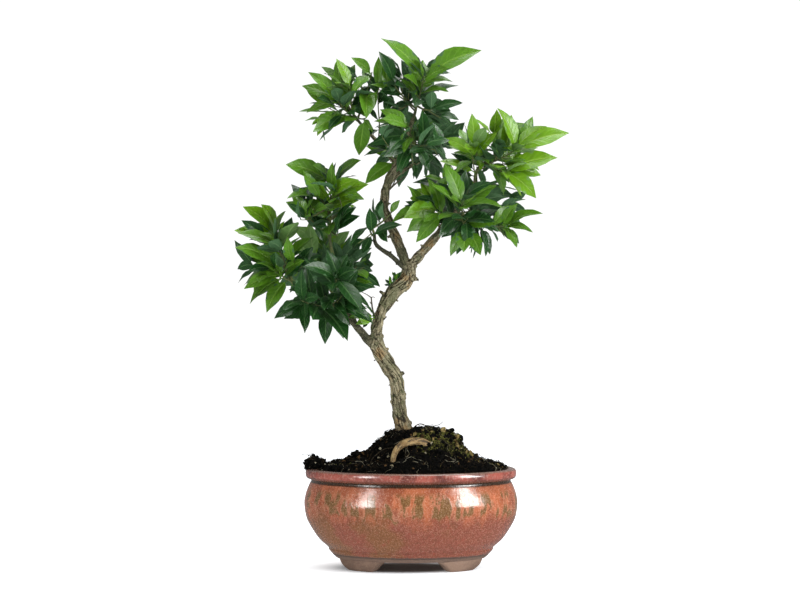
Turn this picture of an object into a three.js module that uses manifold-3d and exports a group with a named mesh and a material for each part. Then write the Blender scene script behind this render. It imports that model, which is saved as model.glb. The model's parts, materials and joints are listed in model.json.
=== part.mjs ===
// An orange-tree bonsai in an oval glazed pot, in millimetres, +Z up.
// +X is to the right and -Y towards the viewer of the plant's front. The origin is on the surface that
// the pot's feet stand on, under the middle of the whole plant's outline.
import * as THREE from "three";
import { mergeVertices } from "three/addons/utils/BufferGeometryUtils.js";
import Module from "manifold-3d";

const wasm = await Module();
wasm.setup();

// Driving dimensions

const gap = 0.3; // clearance that neighbouring solids keep
const potCentre = new THREE.Vector2(7.5, 0); // the crown leans to the left of its pot
const pot = {
  height: 84,
  halfLength: 89.8, // at the belly
  halfDepth: 70,
  baseHalfLength: 63,
  footHeight: 9,
  rimHalfLength: 88.8,
  rimBand: 8, // height of the rolled rim
  neckHalfLength: 84.2,
  lipWidth: 8,
  floor: 8, // thickness of the bottom
  segments: 32,
};
const foot = {
  from: 14, // degrees round the base oval, from its long end
  to: 67,
  flat: 0.5, // share of the foot's length that touches the table
  thickness: 13,
  taper: 5, // how far the outer face leans in
};
const mound = {
  level: 86, // soil round the edge, just over the rim
  rise: 30, // height of the root ball over that level
  centre: 18,
  leftReach: 51,
  rightReach: 40,
  depthReach: 46,
  knee: 0.85,
  steepness: 5,
};
const leaf = {
  length: 34,
  width: 0.42, // of the length
  keel: 0.045, // depth of the midrib under the blade, of the length
  arch: 0.16, // how far the tip bends down, of the length
};
const twig = { stemRadius: 1.4, shootRadius: 1, sides: 3, rings: 2 };
const limbStep = 10; // length of a limb between its rings
const goldenAngle = Math.PI * (3 - Math.sqrt(5));
const crownMiddle = new THREE.Vector3(0, 0, 310); // leaves turn their upper sides away from here

// The limbs, parents first: stations along each one, as x, y, z and radius

const limbs = {
  trunk: [
    [2.6, 0, 109.5, 8.6],
    [1.6, 0, 115, 7.3],
    [-1.8, 0, 129, 6.2],
    [-4.6, 1, 155, 6.1],
    [-13, 0, 172.5, 6.7],
    [-20.4, -2, 185.5, 6.1],
    [-21.6, -3, 197, 4.9],
    [-17.6, 0, 215, 4.6],
    [-7.5, 2, 231.5, 6.5],
    [3.5, 2, 242.5, 7.1],
    [6.8, 0, 255, 5.6],
  ],
  bough_leader: [
    [5.5, 0, 249, 4.6],
    [-2.4, 1.5, 271, 4.2],
    [-12, 3, 294, 3.8],
    [-15.2, 2, 304, 3.8],
    [-12.4, 0, 322, 3.7],
    [-3.2, 0, 343.5, 3.4],
  ],
  bough_right: [
    [5, 0, 252, 4.3],
    [21.5, -3, 270, 3.8],
    [47, -2, 301.5, 2.7],
    [60.5, 0, 315, 2.1],
    [62, 1, 330, 1.7],
  ],
  bough_left: [
    [-21, -1, 186.5, 3.8],
    [-28.5, -2, 191.5, 3.7],
    [-46.6, -5, 213, 2.6],
  ],
  bough_left_inner: [
    [4.5, -1.5, 249.5, 2.2],
    [-9.6, -5, 262.5, 1.9],
    [-21, -6, 270.6, 1.7],
    [-23.6, -6, 281, 1.4],
  ],
  bough_left_upper: [
    [-37, -3, 201, 2],
    [-48, 2, 228, 1.8],
    [-58, 8, 262, 1.5],
  ],
  bough_left_outer: [
    [-41, -4, 205.5, 2.1],
    [-56, 3, 218.5, 1.9],
    [-81, 0, 230, 1.5],
  ],
  bough_left_back: [
    [-36, -3, 199, 2],
    [-43, 10, 212, 1.8],
    [-56, 26, 226, 1.5],
  ],
  bough_top_left: [
    [-5, -0.5, 339, 2.2],
    [-16, 0, 353, 2],
    [-30, 3, 368, 1.6],
  ],
  bough_top: [
    [-3.6, 0, 341.5, 2.4],
    [2.5, 3, 359, 2.1],
    [9.5, 3, 378, 1.7],
  ],
  bough_centre: [
    [-4, -0.5, 341, 2.1],
    [3.5, -6, 348.5, 1.9],
    [9, -11, 353, 1.7],
  ],
  bough_back: [
    [-12.8, 0, 321, 2.2],
    [-2, 18, 333, 1.9],
    [14, 30, 343, 1.6],
  ],
  bough_right_lower: [
    [26.5, -4.5, 276, 2.4],
    [33, -9, 282, 2.1],
    [40, -13, 287, 1.8],
  ],
  bough_right_back: [
    [22, -3, 270.5, 2.1],
    [32, 13, 281.5, 1.9],
    [45, 28, 290, 1.6],
  ],
};
const rootStations = [
  [28, -22, 99, 3.4],
  [22, -31, 105, 3.3],
  [12, -37, 109, 3.1],
  [3, -41, 107.5, 2.9],
  [-3.5, -43.5, 103.5, 2.6],
  [-6.8, -45, 97, 2.3],
  [-7.5, -45, 90.5, 2.1],
  [-7, -44, 86, 2],
];

// The masses of foliage: the bough that carries each one, the oval space that it keeps to, the ends of
// the shoots that the front shows, the number of shoots that fill the rest, and the leading leaves,
// which make the crown's outline: x and z of the foot, then x, y and z of the tip

const masses = [
  {
    name: "mass_top_left",
    bough: "bough_top_left",
    centre: [-47, 0, 390],
    radii: [43, 41, 40],
    leads: [
      [-53.5, -12, 391.2],
      [-25.1, -8, 415.9],
      [-30, -20, 376.3],
      [-43.4, -16, 403.3],
    ],
    fill: 2,
    seed: 30,
    leading: [
      [-57.6, 391.1, -78.5, -18, 413.3],
      [-45.9, 405.9, -54.7, -20, 425.1],
      [-57.8, 390.9, -82.9, -8, 404.6],
      [-55.1, 388.7, -78.8, -20, 380.8],
      [-46.7, 374.4, -74.8, -22, 366.6],
      [-31.7, 366.5, -35.4, 0, 347.3],
      [-22.6, 416.8, -41.8, -10, 427.7],
      [-22.4, 400.5, -30.2, -30, 375.7],
      [-47.2, 397.1, -33, -38, 379.7],
      [-20.9, 414.3, -41.6, -20, 397.9],
      [-31, 394, -22.6, -18, 409.6],
      [-31.7, 386.5, -22, -24, 387.6],
      [-33.4, 378.4, -23.3, -8, 363.8],
      [-2.5, 396.5, -29.5, -24, 377.6],
    ],
  },
  {
    name: "mass_top",
    bough: "bough_top",
    centre: [13, 0, 398],
    radii: [49, 46, 39],
    leads: [
      [18.3, -14, 411.9],
      [-8.4, -14, 406.9],
      [24.9, -20, 383],
      [5.8, -26, 377.4],
    ],
    fill: 2,
    seed: 23,
    leading: [
      [17.5, 413.4, -16.3, -20, 442.6],
      [24.2, 414.2, 66.4, -18, 429.2],
      [19.9, 404.6, 42, -26, 406.8],
      [24.3, 415.5, 49.7, -2, 419.5],
      [19.9, 397.2, 38.8, -28, 398.5],
      [28, 381.6, 50.1, -22, 387.5],
      [-8.4, 404.6, -18.7, -26, 430.5],
      [15.7, 399.3, 0.8, -30, 411.4],
      [11.7, 396, -2.5, -8, 409.2],
      [-5, 391.7, -17.9, -20, 399.6],
      [-5, 402.4, -14.2, -12, 417.1],
    ],
  },
  {
    name: "mass_centre",
    bough: "bough_centre",
    centre: [5, -26, 357],
    radii: [41, 38, 33],
    leads: [
      [5.7, -34, 367.7],
      [-14.9, -28, 349.1],
      [33, -32, 348.8],
      [8.2, -38, 346.8],
    ],
    fill: 0,
    seed: 28,
    leading: [
      [0, 383.8, -23.4, -26, 371],
      [-3.4, 386.9, -17.9, -30, 381.5],
      [23.1, 366.9, 13.9, -44, 379.9],
      [-10.8, 342.9, -29.3, -30, 352.3],
      [21.4, 336.3, 5.7, -46, 345.4],
      [50.2, 358.2, 24.8, -24, 371],
    ],
  },
  {
    name: "mass_back",
    bough: "bough_back",
    centre: [16, 36, 356],
    radii: [48, 35, 40],
    leads: [],
    fill: 5,
    seed: 11,
    leading: [],
  },
  {
    name: "mass_right_upper",
    bough: "bough_right",
    centre: [83, -2, 346],
    radii: [55, 46, 40],
    leads: [
      [59.8, -20, 353],
      [96.7, -14, 351.8],
      [86.5, -18, 331.5],
      [64.5, -28, 327.6],
    ],
    fill: 2,
    seed: 13,
    leading: [
      [93.8, 364.5, 78.4, -20, 383.2],
      [64.9, 368.6, 80.1, -4, 384.7],
      [98.8, 357.4, 118.7, -20, 370.2],
      [105, 349.5, 139.1, -16, 361.7],
      [90.6, 337.1, 128.6, -22, 340.8],
      [84.5, 324.8, 111.2, -26, 310.4],
      [92.8, 333.8, 116.1, -12, 330.3],
      [59.3, 357.1, 57, -26, 378.7],
      [62.1, 352.6, 81.6, -34, 369],
      [57.2, 344.9, 38.8, -4, 354.9],
      [74.2, 338, 64.7, -44, 348.8],
      [94.3, 349.1, 83, -38, 361.6],
    ],
  },
  {
    name: "mass_right_lower",
    bough: "bough_right_lower",
    centre: [52, -18, 297],
    radii: [66, 43, 40],
    leads: [
      [49.5, -32, 304.3],
      [29.7, -28, 297.8],
      [86.5, -18, 286.6],
      [21.6, -20, 308.1],
      [52.9, -28, 282.9],
    ],
    fill: 1,
    seed: 37,
    leading: [
      [56.1, 332.7, 37.1, -30, 337.4],
      [29.7, 300.2, 2.8, -40, 291.6],
      [27.4, 291.6, 4.8, -24, 281.4],
      [29.8, 288.3, 13.7, -34, 272],
      [52, 280.3, 38.8, -32, 262.2],
      [54.1, 280.4, 66, -28, 263.1],
      [52.8, 280, 51.4, -44, 263.8],
      [84.9, 284.9, 96.2, -24, 269.3],
      [90.9, 286.9, 107.9, -14, 280.6],
      [90.7, 290.9, 115.5, -26, 295.7],
      [93.3, 288.4, 94.2, -30, 305.2],
      [63.7, 316, 82.2, -44, 299.6],
      [37.2, 318.6, 15.6, -12, 325.1],
    ],
  },
  {
    name: "mass_right_back",
    bough: "bough_right_back",
    centre: [66, 38, 306],
    radii: [48, 34, 36],
    leads: [],
    fill: 5,
    seed: 18,
    leading: [],
  },
  {
    name: "mass_left_upper",
    bough: "bough_left_upper",
    centre: [-62, -4, 306],
    radii: [46, 43, 41],
    leads: [
      [-59.3, -14, 316.8],
      [-80, -16, 296.7],
      [-53.1, -26, 278.8],
      [-45.1, -14, 304.3],
    ],
    fill: 2,
    seed: 5,
    leading: [
      [-71, 327.3, -95.9, -16, 336.2],
      [-60.7, 316.6, -74.5, -28, 338.4],
      [-58.8, 325, -35.1, -14, 341.6],
      [-62.8, 309.9, -94.7, -24, 309.6],
      [-52.6, 308.7, -28.4, -26, 319.4],
      [-57.9, 319, -43.7, -4, 324.8],
      [-69.6, 294.5, -82.4, -36, 305.7],
      [-28.5, 293.7, -38.5, -2, 302.9],
    ],
  },
  {
    name: "mass_left_outer",
    bough: "bough_left_outer",
    centre: [-102, -2, 262],
    radii: [44, 46, 48],
    leads: [
      [-105.3, -12, 275.1],
      [-100.7, -18, 245.8],
      [-89.5, -26, 256.5],
    ],
    fill: 2,
    seed: 48,
    leading: [
      [-107.8, 285, -132.6, -10, 303.1],
      [-103.5, 288.8, -117.2, -18, 304.7],
      [-112.2, 273.5, -131.1, -22, 292.8],
      [-111.7, 267.7, -139.5, -12, 283.1],
      [-108.4, 258.3, -137.6, -20, 270.4],
      [-103.1, 247.2, -130.9, -24, 235.1],
      [-103.6, 248.2, -119.1, -34, 255],
      [-101.5, 240.2, -126.6, -14, 222.5],
      [-94, 233.3, -114, -14, 216.1],
      [-105.2, 266.4, -89, -36, 286.8],
    ],
  },
  {
    name: "mass_left_lower",
    bough: "bough_left",
    centre: [-64, -24, 228],
    radii: [50, 42, 40],
    leads: [
      [-84.5, -26, 225],
      [-54.4, -36, 244.8],
      [-56.1, -36, 220.1],
      [-36.5, -24, 254.9],
    ],
    fill: 1,
    seed: 26,
    leading: [
      [-86.6, 226.1, -98.2, -34, 212.1],
      [-81.4, 222, -80.9, -40, 198.1],
      [-53.9, 243.9, -35.8, -58, 214.4],
      [-69, 220.1, -45.7, -56, 192.4],
      [-56.5, 210.1, -37.2, -30, 187],
      [-50.2, 256, -27.7, -44, 243.5],
      [-41.5, 233.3, -24.3, -30, 239.5],
      [-38.8, 267.9, -30.1, -44, 257.4],
    ],
  },
  {
    name: "mass_left_back",
    bough: "bough_left_back",
    centre: [-70, 38, 254],
    radii: [50, 34, 44],
    leads: [],
    fill: 5,
    seed: 19,
    leading: [],
  },
  {
    name: "sprig_inner",
    bough: "bough_left_inner",
    centre: [-29, -12, 290],
    radii: [31, 30, 28],
    leads: [
      [-8.4, -20, 298.2],
      [-26.7, -16, 288.3],
      [-25, -22, 278.1],
    ],
    fill: 0,
    seed: 114,
    leading: [
      [-8.4, 294.6, -1.2, -20, 307.3],
      [-24.9, 281.4, -28.1, -32, 300.1],
      [-21.6, 276.4, -0.1, -28, 286],
    ],
  },
];

// Colours

const glaze = new THREE.MeshStandardMaterial({ color: 0xa9604c, roughness: 0.25, metalness: 0.1 });
const clay = new THREE.MeshStandardMaterial({ color: 0x7d5a4a, roughness: 0.75, metalness: 0 });
const earth = new THREE.MeshStandardMaterial({ color: 0x1d1916, roughness: 0.95, metalness: 0 });
const rootBark = new THREE.MeshStandardMaterial({ color: 0xa9854c, roughness: 0.8, metalness: 0 });
const bark = new THREE.MeshStandardMaterial({ color: 0x7c6f55, roughness: 0.85, metalness: 0 });
const foliage = new THREE.MeshStandardMaterial({ color: 0x3f7d22, roughness: 0.45, metalness: 0 });

// Solids from meshes and back

function solidOf(geometry) {
  const bare = geometry.index ? geometry.toNonIndexed() : geometry.clone();
  for (const name of Object.keys(bare.attributes)) {
    if (name !== "position") bare.deleteAttribute(name);
  }
  const merged = mergeVertices(bare, 1e-4);
  const made = new wasm.Manifold(
    new wasm.Mesh({
      numProp: 3,
      vertProperties: merged.attributes.position.array,
      triVerts: new Uint32Array(merged.index.array),
    }),
  );
  if (made.volume() >= 0) return made;
  return solidOf(turnedInsideOut(merged));
}

function turnedInsideOut(geometry) {
  const order = geometry.index.array;
  for (let i = 0; i < order.length; i += 3) {
    [order[i + 1], order[i + 2]] = [order[i + 2], order[i + 1]];
  }
  return geometry;
}

function meshOf(name, solid, material) {
  const { numProp, vertProperties, triVerts } = solid.getMesh();
  const positions = new Float32Array((vertProperties.length / numProp) * 3);
  for (let i = 0; i < positions.length / 3; i++) {
    positions.set(vertProperties.subarray(i * numProp, i * numProp + 3), i * 3);
  }
  const geometry = new THREE.BufferGeometry();
  geometry.setAttribute("position", new THREE.BufferAttribute(positions, 3));
  geometry.setIndex(new THREE.BufferAttribute(triVerts, 1));
  geometry.computeVertexNormals();
  const mesh = new THREE.Mesh(geometry, material);
  mesh.name = name;
  return mesh;
}

// Every vertex of a geometry moved by a function of its place.
function shaped(geometry, place) {
  const position = geometry.attributes.position;
  const point = new THREE.Vector3();
  for (let i = 0; i < position.count; i++) {
    point.fromBufferAttribute(position, i);
    place(point);
    position.setXYZ(i, point.x, point.y, point.z);
  }
  return geometry;
}

// The largest of the loose bodies that a join leaves.
function withoutScraps(solid) {
  const bodies = solid.decompose();
  return bodies.reduce((best, body) => (body.volume() > best.volume() ? body : best));
}

// The pot

// The oval's half depth where its half length is reach: the wall is offset by the same amount all round.
function depthOf(reach) {
  const inset = pot.halfLength - pot.halfDepth;
  const core = pot.baseHalfLength * 0.8;
  return reach > core ? reach - inset : (reach * (core - inset)) / core;
}

// A profile of [half length, height] pairs turned into an oval body round the pot's upright axis.
function ovalBody(profile) {
  const points = profile.map(([reach, height]) => new THREE.Vector2(reach, height));
  const turned = new THREE.LatheGeometry(points, pot.segments);
  return shaped(turned, (p) => {
    const reach = Math.hypot(p.x, p.z);
    const share = reach > 1e-6 ? depthOf(reach) / reach : 0;
    p.set(p.x + potCentre.x, p.z * share + potCentre.y, p.y);
  });
}

function potInside() {
  const mouth = pot.rimHalfLength - pot.lipWidth;
  const floorAt = pot.footHeight + pot.floor;
  return [
    [0, floorAt],
    [pot.baseHalfLength - 7, floorAt],
    [pot.halfLength - 9, floorAt + 24],
    [mouth - 1, pot.height - pot.rimBand],
    [mouth, pot.height - 1],
  ];
}

function makePot() {
  const { halfLength, baseHalfLength, footHeight, height, rimHalfLength, rimBand, neckHalfLength } = pot;
  const outside = [
    [0, footHeight],
    [baseHalfLength - 1, footHeight],
    [baseHalfLength + 3, footHeight + 3],
    [baseHalfLength + 7.5, footHeight + 8],
    [halfLength - 12.3, footHeight + 16],
    [halfLength - 6, footHeight + 25.5],
    [halfLength - 1.8, footHeight + 34],
    [halfLength, footHeight + 45],
    [halfLength - 2.6, footHeight + 55],
    [neckHalfLength, height - rimBand - 3.4],
    [neckHalfLength, height - rimBand - 0.6],
    [rimHalfLength - 1, height - rimBand],
    [rimHalfLength, height - rimBand + 2],
    [rimHalfLength, height - 2],
    [rimHalfLength - 1.6, height],
    [rimHalfLength - pot.lipWidth + 1, height],
  ];
  return solidOf(ovalBody([...outside, ...potInside().reverse()]));
}

// One cloud foot: a block bent round the base oval, whose underside curls up at both ends.
function makeFoot(side, end) {
  const block = new THREE.BoxGeometry(1, 1, 1, 8, 1, 2);
  const top = pot.footHeight - gap;
  shaped(block, (p) => {
    const along = p.x * 2;
    const angle = THREE.MathUtils.degToRad(THREE.MathUtils.lerp(foot.from, foot.to, p.x + 0.5));
    const curl = THREE.MathUtils.smoothstep(Math.abs(along), foot.flat, 1);
    const underside = (top - 0.8) * curl;
    const height = THREE.MathUtils.lerp(underside, top, p.z + 0.5);
    const lean = foot.taper * Math.pow(1 - height / top, 1.6);
    const reach = p.y > 0 ? pot.baseHalfLength - lean : pot.baseHalfLength - foot.thickness;
    p.set(
      potCentre.x + end * reach * Math.cos(angle),
      potCentre.y + side * depthOf(reach) * Math.sin(angle),
      height,
    );
  });
  return solidOf(block);
}

// The soil

function soilHeight(x, y) {
  const across = (x - mound.centre) / (x < mound.centre ? mound.leftReach : mound.rightReach);
  const deep = y / mound.depthReach;
  const from = Math.hypot(across, deep) / mound.knee;
  return mound.level + mound.rise / (1 + Math.pow(from, mound.steepness));
}

function makeSoil(cutters) {
  const rings = 5;
  const inside = potInside();
  const walls = inside.map(([reach, height]) => [reach > 0 ? reach - gap : 0, height + gap]);
  const [mouth] = walls[walls.length - 1];
  const top = [];
  for (let i = rings - 1; i >= 0; i--) top.push([(mouth * i) / rings, pot.height * 2]);
  const body = ovalBody([...walls, ...top]);
  shaped(body, (p) => {
    if (p.z > pot.height * 1.5) p.z = soilHeight(p.x, p.y);
  });
  let soil = solidOf(body);
  for (const cutter of cutters) soil = soil.subtract(cutter);
  return withoutScraps(soil);
}

// Limbs and twigs

function curveThrough(stations) {
  const points = stations.map(([x, y, z]) => new THREE.Vector3(x, y, z));
  return new THREE.CatmullRomCurve3(points, false, "catmullrom", 0.5);
}

function radiusAlong(stations, t) {
  const place = t * (stations.length - 1);
  const i = Math.min(Math.floor(place), stations.length - 2);
  return THREE.MathUtils.lerp(stations[i][3], stations[i + 1][3], place - i);
}

// A tapering limb through its stations.
function limbSolid(stations, grow = 0) {
  const curve = curveThrough(stations);
  const rings = Math.max(3, Math.round(curve.getLength() / limbStep));
  const sides = stations[0][3] > 3 ? 9 : 6;
  return sweptSolid(curve, (t) => radiusAlong(stations, t), { sides, rings, grow });
}

// A cylinder whose rings are carried onto a curve.
function sweptSolid(curve, radiusAt, { sides, rings, grow = 0 }) {
  const tube = new THREE.CylinderGeometry(radiusAt(1) > 0 ? 1 : 0, 1, 1, sides, rings);
  const frames = [];
  let across = null;
  for (let i = 0; i <= rings; i++) {
    const t = i / rings;
    const along = curve.getTangent(t);
    across = across ? across.clone() : new THREE.Vector3(0.2, 1, 0.1);
    across.addScaledVector(along, -across.dot(along)).normalize();
    const over = along.clone().cross(across);
    frames.push({ at: curve.getPoint(t), along, across, over, radius: radiusAt(t) });
  }
  if (grow > 0) {
    frames[0].at.addScaledVector(frames[0].along, -grow);
    frames[rings].at.addScaledVector(frames[rings].along, grow);
  }
  shaped(tube, (p) => {
    const f = frames[Math.round((p.y + 0.5) * rings)];
    const size = f.radius + grow;
    const { x, z } = p;
    p.copy(f.at).addScaledVector(f.across, x * size).addScaledVector(f.over, z * size);
  });
  return solidOf(tube);
}

// The rule for foliage

// A repeatable source of numbers from 0 to 1.
function seeded(seed) {
  let state = seed * 7919 + 17;
  return () => {
    state = (state * 16807) % 2147483647;
    return state / 2147483647;
  };
}

// Points along every limb with the radius there, which leaves and twigs stay clear of.
const limbPoints = Object.values(limbs).flatMap((stations) => {
  const curve = curveThrough(stations);
  const count = Math.round(curve.getLength() / 2);
  return Array.from({ length: count + 1 }, (_, k) => {
    return { at: curve.getPoint(k / count), radius: radiusAlong(stations, k / count) };
  });
});

function clearOfLimbs(point, margin) {
  return limbPoints.every(({ at, radius }) => at.distanceTo(point) > radius + margin);
}

// Inside the mass's own oval, and on its own side of the planes that part it from the other masses.
function insideSpace(mass, point, margin = 0.5) {
  const d = [0, 1, 2].map((i) => (point.getComponent(i) - mass.centre[i]) / mass.radii[i]);
  if (d[0] * d[0] + d[1] * d[1] + d[2] * d[2] > 1) return false;
  return onOwnSide(mass, point, margin);
}

function onOwnSide(mass, point, margin = 0.5) {
  const power = (m) => {
    const size = (m.radii[0] + m.radii[1] + m.radii[2]) / 3;
    return point.distanceToSquared(new THREE.Vector3(...m.centre)) - size * size;
  };
  const own = power(mass);
  const centre = new THREE.Vector3(...mass.centre);
  return masses.every((other) => {
    if (other === mass) return true;
    const apart = centre.distanceTo(new THREE.Vector3(...other.centre));
    return (power(other) - own) / (2 * apart) > margin;
  });
}

// A leaf's frame: where it starts, the way it points, its upper side and its sizes.
function leafPoint(l, along, across) {
  const bend = l.length * leaf.arch * along * along;
  return l.root
    .clone()
    .addScaledVector(l.way, along * l.length)
    .addScaledVector(l.side, across)
    .addScaledVector(l.up, -bend);
}

// Points over a leaf's blade, beyond its root, that its fit is tested at.
function bladePoints(l) {
  const points = [];
  for (let i = 2; i <= 9; i++) {
    const along = i / 9;
    const half = (l.length * leaf.width * Math.sin(Math.PI * Math.min(1, along * 0.9 + 0.05))) / 2;
    for (const share of [-1, -0.5, 0, 0.5, 1]) points.push(leafPoint(l, along, half * share));
  }
  return points;
}

function leafFits(mass, points, grown, inReach) {
  if (!points.every((p) => inReach(mass, p) && clearOfLimbs(p, 1.2))) return false;
  return grown.every((other) => {
    if (other.middle.distanceTo(points[17]) > leaf.length * 1.5) return true;
    return other.points.every((q) => points.every((p) => p.distanceToSquared(q) > 5));
  });
}

// A place on a twig's axis, which runs straight from ring to ring.
function onTwig(curve, t) {
  const i = Math.min(Math.floor(t * twig.rings), twig.rings - 1);
  return curve.getPoint(i / twig.rings).lerp(curve.getPoint((i + 1) / twig.rings), t * twig.rings - i);
}

// The stem, shoots and leaves of one mass.
function growMass(mass) {
  const random = seeded(mass.seed);
  const [before, tip] = limbs[mass.bough].slice(-2).map(([x, y, z]) => new THREE.Vector3(x, y, z));
  const way = tip.clone().sub(before).normalize();
  const centre = new THREE.Vector3(...mass.centre);
  const start = tip.clone().addScaledVector(way, gap);
  const lead = tip.clone().addScaledVector(way, centre.distanceTo(tip) * 0.4);
  const stem = new THREE.QuadraticBezierCurve3(start, lead, centre);
  const tips = mass.leads.map((place) => new THREE.Vector3(...place));
  for (let i = 0; i < mass.fill; i++) {
    const rise = mass.fill > 1 ? 0.8 - (1.4 * i) / (mass.fill - 1) : 0;
    const turn = Math.PI / 2 + i * goldenAngle + 0.9 * (random() - 0.5);
    const flat = Math.sqrt(1 - rise * rise);
    const reach = 0.5 + 0.15 * random();
    const aim = new THREE.Vector3(flat * Math.cos(turn), flat * Math.sin(turn), rise);
    tips.push(aim.multiply(new THREE.Vector3(...mass.radii)).multiplyScalar(reach).add(centre));
  }
  const shoots = [];
  tips.forEach((end, i) => {
    const from = onTwig(stem, 0.3 + (0.7 * (i + 0.5)) / tips.length);
    const knee = from.clone().lerp(end, 0.5);
    knee.z -= 0.12 * from.distanceTo(end);
    const shoot = new THREE.QuadraticBezierCurve3(from, knee, end);
    if (shoot.getPoints(12).every((p) => clearOfLimbs(p, 2) && onOwnSide(mass, p, 2))) shoots.push(shoot);
  });
  const leaves = growLeading(mass, shoots);
  for (const shoot of shoots) growLeaves(mass, shoot, random, leaves);
  return { stem, shoots, leaves };
}

// The leading leaves: each foot is the nearest place on a shoot, and the tip moves to the front or back
// until the leaf fits. They may reach beyond the mass's oval.
function growLeading(mass, shoots) {
  const leaves = [];
  const feet = shoots.flatMap((shoot) => Array.from({ length: 14 }, (_, k) => onTwig(shoot, 0.3 + k * 0.05)));
  for (const [footX, footZ, ...tip] of mass.leading) {
    const away = (p) => Math.hypot(p.x - footX, p.z - footZ);
    const root = feet.reduce((best, p) => (away(p) < away(best) ? p : best));
    for (const shift of [0, -6, 6, -12, 12]) {
      const l = leafTo(root, new THREE.Vector3(tip[0], tip[1] + shift, tip[2]));
      const points = bladePoints(l);
      if (l.length > 56 || !leafFits(mass, points, leaves, onOwnSide)) continue;
      leaves.push({ ...l, points, middle: points[17] });
      break;
    }
  }
  return leaves;
}

// A leaf that turns its upper side to the front and ends at a tip once it has arched.
function leafTo(root, tip) {
  const facing = new THREE.Vector3(0.1, -0.8, 0.6);
  let way = tip.clone().sub(root);
  let length = way.length();
  way.normalize();
  let up = facing.clone().addScaledVector(way, -facing.dot(way)).normalize();
  way = tip.clone().addScaledVector(up, length * leaf.arch).sub(root);
  length = way.length();
  way.normalize();
  up = facing.addScaledVector(way, -facing.dot(way)).normalize();
  return { root, way, up, side: way.clone().cross(up), length };
}

// Leaves set round a shoot by the golden angle, spread wide at its foot and gathered round its tip.
function growLeaves(mass, shoot, random, leaves) {
  const count = Math.max(8, Math.round(shoot.getLength() / 3.2));
  const phase = random() * 6.28;
  for (let k = 0; k < count; k++) {
    const t = 0.25 + (0.68 * k) / (count - 1);
    const root = onTwig(shoot, t);
    const axis = shoot.getTangent(t).normalize();
    const level = new THREE.Vector3(0.1, 0, 1).cross(axis).normalize();
    const over = axis.clone().cross(level);
    const spread = THREE.MathUtils.degToRad(THREE.MathUtils.lerp(85, 35, t) + 16 * (random() - 0.5));
    const facing = root.clone().sub(crownMiddle).normalize().multiplyScalar(0.6);
    facing.x += 0.5 * (random() - 0.5);
    facing.y += Math.sign(root.y - crownMiddle.y) * 0.55;
    facing.z += 0.7;
    const roll = 1.5 * (random() - 0.5);
    const full = leaf.length * (0.85 + 0.3 * random());
    for (let attempt = 0; attempt < 12; attempt++) {
      const turn = phase + k * goldenAngle + attempt * 0.55;
      const way = axis.clone().multiplyScalar(Math.cos(spread));
      way.addScaledVector(level, Math.sin(spread) * Math.cos(turn));
      way.addScaledVector(over, Math.sin(spread) * Math.sin(turn));
      way.normalize();
      const up = facing.clone().addScaledVector(way, -facing.dot(way)).normalize();
      up.applyAxisAngle(way, roll);
      const length = full * (1 - 0.03 * attempt);
      const l = { root, way, up, side: way.clone().cross(up), length };
      const points = bladePoints(l);
      if (!leafFits(mass, points, leaves, insideSpace)) continue;
      leaves.push({ ...l, points, middle: points[17] });
      break;
    }
  }
}

// A leaf's solid: six corners round its edge, flat across its upper side, with the midrib's keel below.
function leafSolid(l) {
  const half = (l.length * leaf.width) / 2;
  const corners = [
    leafPoint(l, 0, 0),
    leafPoint(l, 0.28, -half * 0.92),
    leafPoint(l, 0.66, -half * 0.8),
    leafPoint(l, 1, 0),
    leafPoint(l, 0.66, half * 0.8),
    leafPoint(l, 0.28, half * 0.92),
    leafPoint(l, 0.46, 0).addScaledVector(l.up, -l.length * leaf.keel),
  ];
  const faces = [0, 1, 5, 1, 2, 5, 2, 4, 5, 2, 3, 4];
  for (let c = 0; c < 6; c++) faces.push((c + 1) % 6, c, 6);
  const geometry = new THREE.BufferGeometry().setFromPoints(corners);
  geometry.setIndex(faces);
  return solidOf(geometry);
}

function makeMass(mass) {
  const { stem, shoots, leaves } = growMass(mass);
  const stemRadius = (t) => THREE.MathUtils.lerp(twig.stemRadius, twig.shootRadius, t);
  const shootRadius = (t) => (t < 1 ? twig.shootRadius * (1 - 0.4 * t) : 0);
  const pieces = [
    sweptSolid(stem, stemRadius, twig),
    ...shoots.map((shoot) => sweptSolid(shoot, shootRadius, twig)),
    ...leaves.map(leafSolid),
  ];
  return withoutScraps(wasm.Manifold.union(pieces));
}

// The whole plant

const plant = new THREE.Group();
plant.position.set(0.09, -0.27, 0); // sets the middle of the whole outline over the origin

// Each limb is cut clear of the ones before it, which it grows from or starts beside.
const taken = [];
const limbMeshes = Object.entries(limbs).map(([name, stations]) => {
  const whole = limbSolid(stations);
  const clear = taken.reduce((solid, other) => solid.subtract(other), whole);
  taken.push(limbSolid(stations, gap));
  return meshOf(name, withoutScraps(clear), bark);
});
const seats = [limbSolid(limbs.trunk, gap), limbSolid(rootStations, gap)];

plant.add(meshOf("pot", makePot(), glaze));
for (const [side, sideName] of [[-1, "front"], [1, "back"]]) {
  for (const [end, endName] of [[-1, "left"], [1, "right"]]) {
    plant.add(meshOf(`pot_foot_${sideName}_${endName}`, makeFoot(side, end), clay));
  }
}
plant.add(meshOf("soil", makeSoil(seats), earth));
plant.add(meshOf("surface_root", limbSolid(rootStations), rootBark));
plant.add(...limbMeshes);
for (const mass of masses) plant.add(meshOf(mass.name, makeMass(mass), foliage));

export default plant;
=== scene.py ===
# An orange bonsai in an oval glazed pot: its looks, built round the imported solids, in metres.
# Plans below are in millimetres, +X to the right and -Y to the front, as the solids were drawn.
import json
import math

import bmesh
import bpy
import numpy as np
from mathutils import Matrix, Vector, kdtree, noise

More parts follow.
